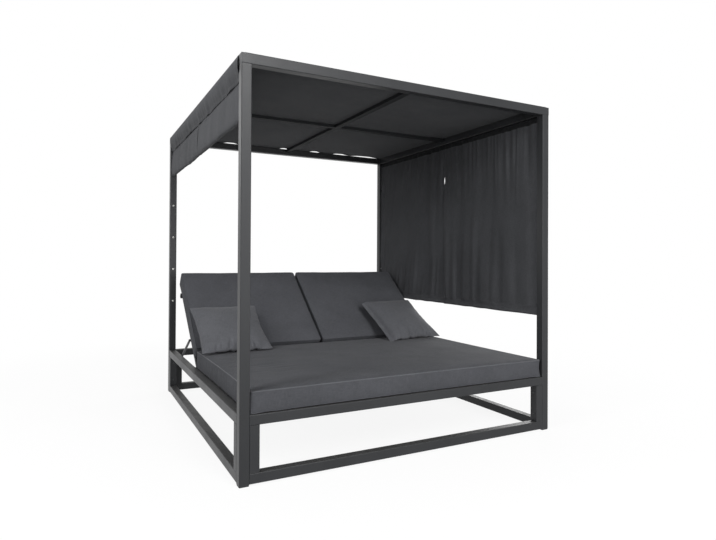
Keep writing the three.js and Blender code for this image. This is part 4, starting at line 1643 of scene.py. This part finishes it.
@dataclass(frozen=True)
class Pleats:
    """A row of irregular narrow folds that fade away from where they start."""

    seed: int
    spacing: float
    width: float
    height: float
    reach: float

    def at(self, y: Array, down: Array) -> Array:
        """Reads how far the folds stand out.

        Args:
            y: distance from the middle split.
            down: zero where the folds start, growing away from there.

        Returns:
            How far the cloth stands out.
        """
        draw = np.random.default_rng(self.seed)
        total = np.zeros(np.broadcast(y, down).shape)
        place = -0.1
        while place < 1.15:
            place += self.spacing * draw.uniform(0.55, 1.45)
            drift = draw.uniform(-0.03, 0.03)
            wide = self.width * draw.uniform(0.6, 1.5)
            high = self.height * (draw.uniform(0.35, 1.2) * draw.choice([-1, 1, 1]))
            long = self.reach * draw.uniform(0.5, 1.3)
            fold = high * hump(y + drift * down, place, wide * (1 + 0.8 * down))
            total += fold * smooth(long - down, 0.0, long * 0.8)
        return total


HEAD_PLEATS = {
    End.FRONT: Pleats(83, 0.046, 0.0105, 0.0072, 0.42),
    End.REAR: Pleats(81, 0.042, 0.011, 0.0085, 0.5),
}
HEM_PLEATS = {
    End.FRONT: Pleats(84, 0.105, 0.019, 0.0108, 0.6),
    End.REAR: Pleats(82, 0.075, 0.016, 0.0095, 0.4),
}


@dataclass
class SideCurtains:
    """Four curtain panels: the right pair let down, the left pair folded up."""

    plane: float = 0.975
    top: float = 1.9994
    near: float = 0.002
    far: float = 0.998
    rod_low: float = 0.732
    rod_high: float = 1.756
    rod_radius: float = 0.008
    thickness: float = 0.0010
    band: float = 0.043
    overhang: float = 0.006
    hem: float = 0.016
    rim: float = 0.002
    header: float = 0.034
    # Brightness kept in the doubled header band: painted shade for the shadow under the top rail.
    header_tone: float = 0.2
    header_stitch: float = 0.003
    fullness: float = 1.02
    fold_limit: float = 0.0112
    lap: float = 0.0034
    slit: float = 0.0166
    slit_place: float = 0.765
    slit_spread: float = 0.044
    overlap: float = 0.0082
    pocket_play: float = 0.0009
    neck: float = 0.0011
    blend_end: float = 1.768

    def mesh_lines(self, step: float) -> Array:
        """Places of a panel's upright mesh lines.

        Args:
            step: the wished distance.

        Returns:
            Distances from the middle split, with exact ones at both side hems.
        """
        near, far, rim, hem = self.near, self.far, self.rim, self.hem
        return stops(near, far, step, [near + rim, near + hem, far - hem, far - rim])

    def front_folds(self, y: Array, share: Array, down: Array) -> Array:
        """Soft upright folds of the front panel.

        Args:
            y: distance from the middle split.
            share: zero at the hem band, one at the top.
            down: the rest of the share.

        Returns:
            How far the cloth stands out.
        """
        noise = Ripple(42)
        gathers = 0.0095 * noise.at(y * 29, down * 1.4) * smooth(share, 0.58, 0.95)
        soft = 0.0080 * noise.at(y * 11 + 5, down * 0.9 + 2) * (0.3 + 0.7 * down)
        low = 0.0160 * noise.at(y * 15 + 17, down * 0.6 + 6) * smooth(down, 0.45, 0.92)
        field = 0.45 * gathers + soft + 0.6 * low
        field = field + HEAD_PLEATS[End.FRONT].at(y, down)
        return field + HEM_PLEATS[End.FRONT].at(y, share)

    def rear_folds(self, y: Array, share: Array, down: Array) -> Array:
        """Slanted and stronger folds of the rear panel.

        Args:
            y: distance from the middle split.
            share: zero at the hem band, one at the top.
            down: the rest of the share.

        Returns:
            How far the cloth stands out.
        """
        slant = y - 0.16 * down * (0.4 + y)
        noise = Ripple(41)
        strong = hump(slant, 0.17, 0.16) + 0.35
        top = 0.0125 * noise.at(slant * 25, down * 1.2 + 4) * strong * smooth(share, 0.35, 0.9)
        long = 0.0100 * noise.at(slant * 11 + 11, down * 0.8) * strong
        low = 0.0135 * noise.at(slant * 19 + 29, down * 0.7 + 8) * smooth(down, 0.55, 0.95)
        ridge = 0.009 * hump(slant, 0.13, 0.028) - 0.008 * hump(slant, 0.20, 0.035)
        ridge = ridge * smooth(down, 0.02, 0.2) * smooth(share, 0.1, 0.6)
        field = 0.5 * top + long * 0.7 + 0.6 * low + ridge
        near = smooth(0.75 - y, 0.0, 0.5)
        field = field + near * HEAD_PLEATS[End.REAR].at(slant, down)
        return field + HEM_PLEATS[End.REAR].at(slant + 0.1, share)

    def folds(self, y: Array, share: Array, end: End) -> Array:
        """Folds of a lowered panel.

        Args:
            y: distance from the middle split.
            share: zero at the hem band, one at the top.
            end: which panel it is.

        Returns:
            How far the cloth stands from its plane, towards the seat when positive.
        """
        down = 1 - share
        field = (self.rear_folds if end is End.REAR else self.front_folds)(y, share, down)
        calm = (smooth(share, 0.0, 0.10) * 0.5 + 0.5) * (0.15 + 0.85 * smooth(y, 0.0, 0.045))
        limited = self.fold_limit * np.tanh(field * calm / self.fold_limit)
        return limited * (0.15 + 0.85 * smooth(down, 0.0, 0.02))

    def side_hem(self, y: Array, share: Array, end: End) -> Array:
        """The panels overlap at the split, and bow so that light shows at one place.

        Args:
            y: distance from the middle split.
            share: zero at the hem band, one at the top.
            end: which panel it is.

        Returns:
            How far the edge draws back.
        """
        slit = self.slit * hump(share, self.slit_place, self.slit_spread)
        ease = 0.0006 * np.sin(share * 9 + (2.0 if end is End.REAR else 0.0)) - self.overlap
        return (slit + ease * smooth(share, 0.0, 0.03)) * hump(y, 0.0, 0.05)

    def lowered(self, end: End, cloth: Material) -> None:
        """Models a panel that is let down, and its rod pocket.

        Args:
            end: which panel.
            cloth: the canopy cloth.
        """
        bottom = self.rod_low + self.band
        header = self.top - self.header
        exact = [bottom, header - 0.001, header, self.top - self.rim]
        z_line = stops(bottom - self.overhang, self.top, 0.016, exact)
        y, z = np.meshgrid(self.mesh_lines(0.0062), z_line)
        share = np.clip((z - bottom) / (self.top - bottom), 0, 1)
        lap = -self.lap * end.value * hump(y, 0.0, 0.03) * smooth(share, 0.0, 0.03)
        x = self.plane - self.folds(y, share, end) - lap
        x -= (end is End.REAR) * 0.008 * smooth(y, 0.94, 0.985) * smooth(share, 0.0, 0.04)
        drawn = y + self.side_hem(y, share, end)
        middle = np.stack([x, end.value * drawn, z], -1)
        edge = np.minimum(y - self.near, self.far - y)
        in_header = z >= header - TOLERANCE
        doubled = (edge <= self.hem + TOLERANCE) | in_header
        thick = np.where(doubled, self.thickness * 1.9, self.thickness)
        rim = (edge <= TOLERANCE) | (z >= self.top - TOLERANCE)
        thick = np.where(rim, self.thickness * 1.2, thick)
        rows = stitch_rows([(edge - self.hem, z), (header - self.header_stitch - z, y)])
        # Painted shade: the header band is darkened to stand for the shadow under the top rail.
        tone = np.where(in_header, self.header_tone, 1.0)
        rows = np.concatenate([rows, tone[..., None]], -1)
        name = f"lowered_curtain_{end.word}"
        piece = cloth_shell(name, middle, thick, np.stack([y, z], -1), rows)
        dress(piece, cloth)
        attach(piece, "base")
        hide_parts(f"curtain_right_{end.word}")
        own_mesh(piece)
        pocket = self.pocket(end, cloth)

    def pocket(self, end: End, cloth: Material) -> Piece:
        """Models the pocket that the rod runs through.

        Args:
            end: which panel.
            cloth: the canopy cloth.

        Returns:
            The pocket.
        """
        opening = math.radians(38)
        turns = np.linspace(opening, 2 * math.pi - opening, 23)
        ring = np.stack([np.sin(turns), np.cos(turns)], -1) * (self.rod_radius + self.pocket_play)
        rises = np.linspace(0.014, self.band, 6)
        narrowing = 1 - smooth(rises, 0.009, 0.026)
        left = np.stack([self.neck + (ring[0, 0] - self.neck) * narrowing, rises], -1)
        right = left[::-1] * np.array([-1, 1])
        lines = np.concatenate([left[::-1], ring, right[::-1]])
        exact = [self.near + self.rim, self.far - self.rim]
        y = stops(self.near, self.far, 0.0095, exact)[:, None]
        noise = Ripple(43)
        across, height = lines[None, :, 0], lines[None, :, 1]
        rise = np.clip(height / self.band, 0, 1)
        shift = -self.folds(y, np.zeros_like(y), end) * rise**2
        droop = 0.0012 * noise.at(y * 12, 3.0 * end.value) * (height < 0)
        drop = 0.0025 * (end is End.FRONT)
        x = self.plane + across * (1 + 0.08 * noise.at(y * 18, 9.0 * end.value)) + shift
        z = self.rod_low + height - droop - drop * smooth(-height, -0.02, 0.008)
        middle = np.stack([x, end.value * y + 0 * x, z], -1)
        thick = np.full(x.shape, self.thickness * 1.2)
        away = np.abs(height - self.band + 0.004) + 0 * y
        rows = np.stack([away, y + 0 * away], -1)
        length = along_path(lines)
        cut = np.stack(np.broadcast_arrays(y, length[None]), -1)
        piece = cloth_shell(f"rod_pocket_right_{end.word}", middle, thick, cut, rows)
        dress(piece, cloth)
        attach(piece, "right_rod")
        return piece

    def fold_path(self) -> Array:
        """Section of a folded panel: distance outwards and height, in millimetres.

        Returns:
            Points from the top rail to the end of the rod pocket.
        """
        path = [
            (0, 1999.4), (1.5, 1986), (2.5, 1960), (4.5, 1930), (9.5, 1910), (13.4, 1870),
            (16.2, 1820), (17.2, 1790), (16.6, 1768), (13.6, 1752), (7.5, 1744.6), (0, 1743.2),
            (-7.5, 1744.6), (-13.6, 1752), (-16.6, 1768), (-17.2, 1792), (-16.8, 1840),
            (-15.2, 1890), (-12.6, 1930), (-10.6, 1938), (-8.8, 1934), (-10.6, 1890),
            (-12.2, 1840), (-12.6, 1795), (-11, 1783), (-9.2, 1795), (-8.6, 1840), (-7.4, 1890),
            (-5.8, 1938), (-4, 1946), (-2.4, 1938), (-4, 1890), (-5, 1840), (-5.4, 1795),
            (-3.8, 1783), (-2, 1795), (-1.2, 1840), (0.2, 1900), (2.2, 1944), (4.2, 1952),
            (6.2, 1944), (7.6, 1900), (9.6, 1840), (11.4, 1795), (11.2, 1772), (9.8, 1758),
        ]
        radius, height = 9.8, 1756
        ring = [
            (radius * math.cos(turn), height - radius * math.sin(turn))
            for turn in np.radians(np.arange(12, 330, 15))
        ]
        points = np.array(path + ring, float)
        for _ in range(3):
            before, after = points[:-1], points[1:]
            pairs = np.stack([before * 0.75 + after * 0.25, before * 0.25 + after * 0.75], 1)
            points = np.concatenate([points[:1], pairs.reshape(-1, 2), points[-1:]])
        return self.thinned(points)

    @staticmethod
    def thinned(points: Array) -> Array:
        """Leaves out points of a section where it hardly bends.

        Args:
            points: the section, in millimetres.

        Returns:
            The points that are kept, with both ends.
        """
        longest, shortest, bend_limit = 7, 0.6, 0.16
        keep = [0]
        for i in range(1, len(points) - 1):
            a, b, c = points[keep[-1]], points[i], points[i + 1]
            step = np.linalg.norm(b - a)
            bend = np.cross(b - a, c - b) / (step * np.linalg.norm(c - b) + 1e-9)
            if step > longest or (abs(bend) > bend_limit and step > shortest):
                keep.append(i)
        return points[keep + [len(points) - 1]]

    def raised(self, end: End, cloth: Material) -> None:
        """Models a panel that is folded up round its rod.

        Args:
            end: which panel.
            cloth: the canopy cloth.
        """
        path = self.fold_path() / 1000
        travel = along_path(path)
        y_line = self.mesh_lines(0.016)
        y, s = np.meshgrid(y_line, travel)
        out = np.repeat(path[:, :1], len(y_line), 1)
        z = np.repeat(path[:, 1:], len(y_line), 1)
        noise = Ripple(51)
        seed = 6.0 * end.value
        body = smooth(z, self.top, 1.94)
        ripple = 1 + 0.05 * noise.at(y * 5, z * 8 + seed) * body
        lines = sum(hump(y, place, 0.006) for place in (0.028, 0.05, 0.072)) * (end is End.FRONT)
        outer = smooth(s, 0.36, 0.27)
        stand = 0.0012 * lines + 0.0010 * noise.at(y * 14, z * 3 + seed)
        out = out * ripple + stand * outer * body
        droop = 0.0018 * (1 + noise.at(y * 3.5, seed + 2)) + 0.002 * (end is End.REAR) * y
        droop = droop * smooth(z, 1.80, 1.745)
        middle = np.stack([-(self.plane + out), end.value * y, z - droop], -1)
        edge = np.minimum(y - self.near, self.far - y)
        thick = np.where(edge <= self.hem + TOLERANCE, self.thickness * 1.5, self.thickness)
        rows = stitch_rows([(edge - self.hem, s), (s - 0.022, y)])
        name = f"raised_curtain_{end.word}"
        piece = cloth_shell(name, middle, thick, np.stack([y, s], -1), rows)
        dress(piece, cloth)
        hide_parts(f"curtain_left_{end.word}")
        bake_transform(piece)

    def build(self, cloth: Material) -> None:
        """Models all four panels.

        Args:
            cloth: the canopy cloth.
        """
        for end in End:
            self.lowered(end, cloth)
            self.raised(end, cloth)


# -------- Fittings --------


def select_faces(piece: Piece, test: Callable[[Vector, Vector], bool]) -> None:
    """In edit mode, selects the faces that pass a test and no others.

    Args:
        piece: the object in edit mode.
        test: takes a face's centre and normal.
    """
    work = bmesh.from_edit_mesh(piece.data)
    for item in (*work.verts, *work.edges, *work.faces):
        item.select = False
    for face in work.faces:
        if test(face.calc_center_median(), face.normal):
            face.select_set(True)
    bmesh.update_edit_mesh(piece.data)


def start_turned(sides: int, radius: float, length: float, **place: Point) -> Piece:
    """Starts a turned piece as a round blank, and enters edit mode.

    Args:
        sides: faces round it.
        radius: its radius.
        length: its length.
        **place: where the blank's middle is or how it is turned.

    Returns:
        The piece, in edit mode.
    """
    bpy.ops.object.select_all(action="DESELECT")
    bpy.ops.mesh.primitive_cylinder_add(vertices=sides, radius=radius, depth=length, **place)
    piece = bpy.context.object
    bpy.ops.object.transform_apply(location=True, rotation=True, scale=False)
    bpy.ops.object.mode_set(mode="EDIT")
    bpy.ops.mesh.select_mode(type="FACE")
    return piece


def end_turned(smooth_angle: float) -> None:
    """Turns the faces outwards, leaves edit mode and shades the piece.

    Args:
        smooth_angle: the angle under which an edge is smooth.
    """
    bpy.ops.mesh.select_all(action="SELECT")
    bpy.ops.mesh.normals_make_consistent(inside=False)
    bpy.ops.object.mode_set(mode="OBJECT")
    bpy.ops.object.shade_smooth_by_angle(angle=smooth_angle)


@dataclass
class PostBushes:
    """White bushes in the posts' holes, one modelled and the rest copied."""

    sides: int = 32
    radius: float = 0.0067
    bore: float = 0.0046
    length: float = 0.0135
    recess: float = 0.0108
    rim: float = 0.0004
    rim_steps: int = 2
    smooth_angle: float = math.radians(40)
    first: float = 0.732
    pitch: float = 0.256
    count: int = 5
    rail: float = 0.975
    face: float = 1.0
    clearance: float = 0.0001

    def pattern(self) -> Piece:
        """Models one bush about the origin, its open end towards minus Y.

        Returns:
            The bush.
        """
        piece = start_turned(self.sides, self.radius, self.length, rotation=(math.pi / 2, 0, 0))
        select_faces(piece, lambda _, normal: abs(normal.y) > 0.9)
        bpy.ops.mesh.bevel(offset=self.rim, segments=self.rim_steps, affect="EDGES")
        select_faces(piece, lambda centre, normal: normal.y < -0.99 and centre.xz.length < self.rim)
        bpy.ops.mesh.inset(thickness=self.radius - self.rim - self.bore, depth=0.0)
        bpy.ops.mesh.extrude_region_move(TRANSFORM_OT_translate={"value": (0, self.recess, 0)})
        bpy.ops.mesh.inset(thickness=self.rim, depth=self.rim)
        end_turned(self.smooth_angle)
        return piece

    def build(self, plastic: Material) -> None:
        """Copies the bush to every hole.

        Args:
            plastic: the bush material.
        """
        pattern = self.pattern()
        for side in Side:
            for end in End:
                turn = Matrix.Rotation(0.0 if end is End.REAR else math.pi, 4, "Z")
                y = end.value * (self.face + self.length / 2 + self.clearance)
                for place in range(self.count):
                    bush = copy_piece(pattern, f"post_bush_{end.word}_{side.word}_{place + 1}")
                    z = self.first + self.pitch * place
                    spot = Matrix.Translation((side.value * self.rail, y, z))
                    bush.data.transform(spot @ turn)
                    dress(bush, plastic)
                    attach(bush, "base")
        bpy.data.objects.remove(pattern)


@dataclass
class FrameBolts:
    """Button-head bolts that hold the uprights to the posts, one modelled and the rest copied."""

    sides: int = 24
    radius: float = 0.0062
    head: float = 0.0036
    dome: float = 0.0016
    dome_steps: int = 4
    socket: float = 0.0027
    depth: float = 0.0019
    smooth_angle: float = math.radians(35)
    heights: tuple[float, float] = (0.105, 0.238)
    front_face: float = 0.8998
    side_face: float = 0.9498
    front_line: float = 1.025
    side_line: float = 0.975

    def pattern(self) -> Piece:
        """Models one bolt on the origin, its head towards plus Z.

        Returns:
            The bolt.
        """
        piece = start_turned(self.sides, self.radius, self.head, location=(0, 0, self.head / 2))
        select_faces(piece, lambda _, normal: normal.z > 0.9)
        bpy.ops.mesh.bevel(offset=self.dome, segments=self.dome_steps, affect="EDGES")
        select_faces(piece, lambda centre, normal: normal.z > 0.99 and centre.xy.length < self.dome)
        bpy.ops.mesh.inset(thickness=self.radius - self.dome - self.socket, depth=0.0)
        bpy.ops.mesh.extrude_region_move(TRANSFORM_OT_translate={"value": (0, 0, -self.depth)})
        end_turned(self.smooth_angle)
        return piece

    def build(self, metal: Material) -> None:
        """Copies the bolt to both heights of all eight uprights.

        Args:
            metal: the bolt material.
        """
        pattern = self.pattern()
        for side in Side:
            for end in End:
                across, along = side.value, end.value
                spots = (
                    ("cross", (across * self.front_face, along * self.front_line), (-across, 0)),
                    ("along", (across * self.side_line, along * self.side_face), (0, -along)),
                )
                for word, (x, y), facing in spots:
                    turn = Vector((*facing, 0)).to_track_quat("Z", "Y").to_matrix().to_4x4()
                    for place, z in enumerate(self.heights):
                        name = f"frame_bolt_{word}_{end.word}_{side.word}_{place + 1}"
                        bolt = copy_piece(pattern, name)
                        bolt.data.transform(Matrix.Translation((x, y, z)) @ turn)
                        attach(dress(bolt, metal), "base")
        bpy.data.objects.remove(pattern)


# -------- Studio --------


@dataclass(frozen=True)
class PhotoCamera:
    """Camera at the photograph's place, height and angle."""

    place: Point = (-1.7033, -3.5448, 1.0772)
    yaw: float = math.radians(27.233)
    pitch: float = math.radians(0.386)
    roll: float = math.radians(0.295)
    lens: float = 27.231
    shift_x: float = 0.0104
    shift_y: float = -0.0206

    def build(self) -> None:
        """Sets up the camera."""
        sine, cosine, tilt = math.sin(self.yaw), math.cos(self.yaw), math.cos(self.pitch)
        ahead = Vector((sine * tilt, cosine * tilt, math.sin(self.pitch)))
        level = Vector((cosine, -sine, 0))
        rise = level.cross(ahead)
        right = level * math.cos(self.roll) + rise * math.sin(self.roll)
        up = rise * math.cos(self.roll) - level * math.sin(self.roll)
        data = bpy.data.cameras.new("photo_camera")
        data.lens, data.sensor_width = self.lens, 36.0
        data.shift_x, data.shift_y = self.shift_x, self.shift_y
        data.clip_start, data.clip_end = 0.05, 200.0
        camera = bpy.data.objects.new("photo_camera", data)
        turn = Matrix((right, up, -ahead)).transposed().to_4x4()
        camera.matrix_world = Matrix.Translation(self.place) @ turn
        bpy.context.scene.collection.objects.link(camera)
        bpy.context.scene.camera = camera


@dataclass(frozen=True)
class Studio:
    """Pale floor, white surroundings and soft lamps."""

    floor_size: float = 90.0
    floor_colour: str = "A8A8A6"
    floor_white: float = 0.9
    ambient: float = 0.036
    lamps: tuple[tuple[str, Point, Point, float, float], ...] = (
        ("key_lamp", (-4.2, -1.6, 4.2), (-0.9, 0.0, 1.9), 1.6, 85.0),
        ("left_lamp", (-5.0, -2.4, 1.9), (-1.0, 0.0, 1.4), 1.8, 92.0),
        ("front_left_lamp", (-2.4, -5.6, 1.5), (0.5, 0.0, 1.2), 1.5, 30.0),
        ("front_high_lamp", (0.0, -6.0, 4.4), (0.0, 0.0, 1.0), 2.4, 215.0),
        ("front_lamp", (0.1, -6.0, 2.5), (0.0, 0.0, 1.0), 2.4, 55.0),
        ("front_right_lamp", (1.6, -5.6, 0.9), (0.2, 0.0, 0.8), 2.0, 62.0),
        ("rear_left_lamp", (-3.6, 5.0, 3.0), (0.0, 0.3, 1.2), 2.6, 26.0),
        ("rear_right_lamp", (4.6, 3.4, 2.6), (0.0, 0.3, 1.1), 2.6, 90.0),
        ("right_lamp", (5.4, -1.0, 1.6), (0.5, 0.0, 0.8), 2.0, 60.0),
        ("top_lamp", (0.0, 0.6, 5.6), (0.0, 0.0, 1.0), 3.0, 85.0),
    )

    def seen(self, graph: Graph) -> Socket:
        """Mask of the rays that see the background itself.

        Args:
            graph: the tree that needs it.

        Returns:
            One for camera, glossy and transmission rays.
        """
        path = graph.add("LightPath")
        both = graph.math("MAXIMUM", path.outputs["Is Camera Ray"], path.outputs["Is Glossy Ray"])
        return graph.math("MAXIMUM", both, path.outputs["Is Transmission Ray"])

    def build(self) -> None:
        """Sets up floor, surroundings, lamps and view.

        Each lamp has its name, place, target, size and power.
        """
        bpy.ops.object.select_all(action="DESELECT")
        bpy.ops.mesh.primitive_plane_add(size=self.floor_size)
        floor = bpy.context.object
        floor.name = "floor"
        material = bpy.data.materials.new("pale_floor")
        material.use_nodes = True
        graph = Graph(material.node_tree)
        where = graph.add("TexCoord").outputs["Object"]
        mottle = graph.span(graph.noise(where, 0.4, 3.0), 0.3, 0.7, 0.97, 1.0)
        tone = graph.add("CombineXYZ", {0: mottle, 1: mottle, 2: mottle}).outputs[0]
        colour = graph.blend(1.0, paint(self.floor_colour), tone, "MULTIPLY")
        colour = graph.blend(self.seen(graph), colour, (1, 1, 1, 1))
        matt = graph.add("BsdfDiffuse", {"Color": colour}).outputs[0]
        glow = graph.add("Emission", {"Color": (1, 1, 1, 1), "Strength": 1.0}).outputs[0]
        away = graph.add("VectorMath", {0: where}, operation="LENGTH").outputs["Value"]
        white = graph.span(away, 1.6, 4.5, self.floor_white, 1.0)
        share = graph.math("MULTIPLY", self.seen(graph), white)
        mixed = graph.add("MixShader", {0: share, 1: matt, 2: glow}).outputs[0]
        graph.feed(graph.add("OutputMaterial").inputs["Surface"], mixed)
        floor.data.materials.append(material)
        world = bpy.data.worlds.new("surroundings")
        world.use_nodes = True
        bpy.context.scene.world = world
        graph = Graph(world.node_tree)
        strength = graph.math("MULTIPLY_ADD", self.seen(graph), 1 - self.ambient, self.ambient)
        light = graph.add("Background", {"Color": (1, 1, 1, 1), "Strength": strength}).outputs[0]
        graph.feed(graph.add("OutputWorld").inputs["Surface"], light)
        for name, place, target, size, power in self.lamps:
            data = bpy.data.lights.new(name, "AREA")
            data.shape, data.size, data.energy = "DISK", size, power
            lamp = bpy.data.objects.new(name, data)
            lamp.location = place
            aim = Vector(target) - Vector(place)
            lamp.rotation_euler = aim.to_track_quat("-Z", "Y").to_euler()
            bpy.context.scene.collection.objects.link(lamp)
        bpy.context.scene.view_settings.view_transform = "Standard"


class FrameParts:
    """The carried-over hard nodes, which keep their shape and get their finish."""

    def build(self, finishes: dict[tuple[str, ...], Material]) -> None:
        """Assigns each node its material.

        Args:
            finishes: materials by the beginnings of the node names that take them.
        """
        for name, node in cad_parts.items():
            for starts, material in finishes.items():
                if name.startswith(starts):
                    node.data.materials.clear()
                    node.data.materials.append(material)
                    break


def main() -> None:
    """Builds the scene piece by piece."""
    logging.basicConfig(level=logging.INFO, format="%(name)s %(message)s")
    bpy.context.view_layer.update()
    PhotoCamera().build()
    Studio().build()
    tube, bar, cast, steel, glide, bush, cushion, piping, pillow, canopy = (
        finish.build()
        for finish in (
            TUBE_FINISH, SHADED_BAR_FINISH, CAST_FINISH, STEEL_FINISH, GLIDE_FINISH,
            BUSH_FINISH, CUSHION_FINISH, HIGHLIGHT_PIPING_FINISH, PILLOW_FINISH, CANOPY_FINISH,
        )
    )
    FrameParts().build({
        SHADED_BAR_NODES: bar, CAST_NODES: cast, STEEL_NODES: steel, GLIDE_NODES: glide,
        COATED_NODES: tube,
    })
    Mattress().build(cushion, piping)
    BackCushions().build(cushion)
    ScatterPillow(Side.LEFT, -0.718, 0.0, 61).build(pillow)
    ScatterPillow(Side.RIGHT, 0.690, math.radians(4.0), 71, empty_margin=0.13).build(pillow)
    RoofCover().build(canopy)
    SideCurtains().build(canopy)
    PostBushes().build(bush)
    FrameBolts().build(cast)


if __name__ == "__main__":
    main()
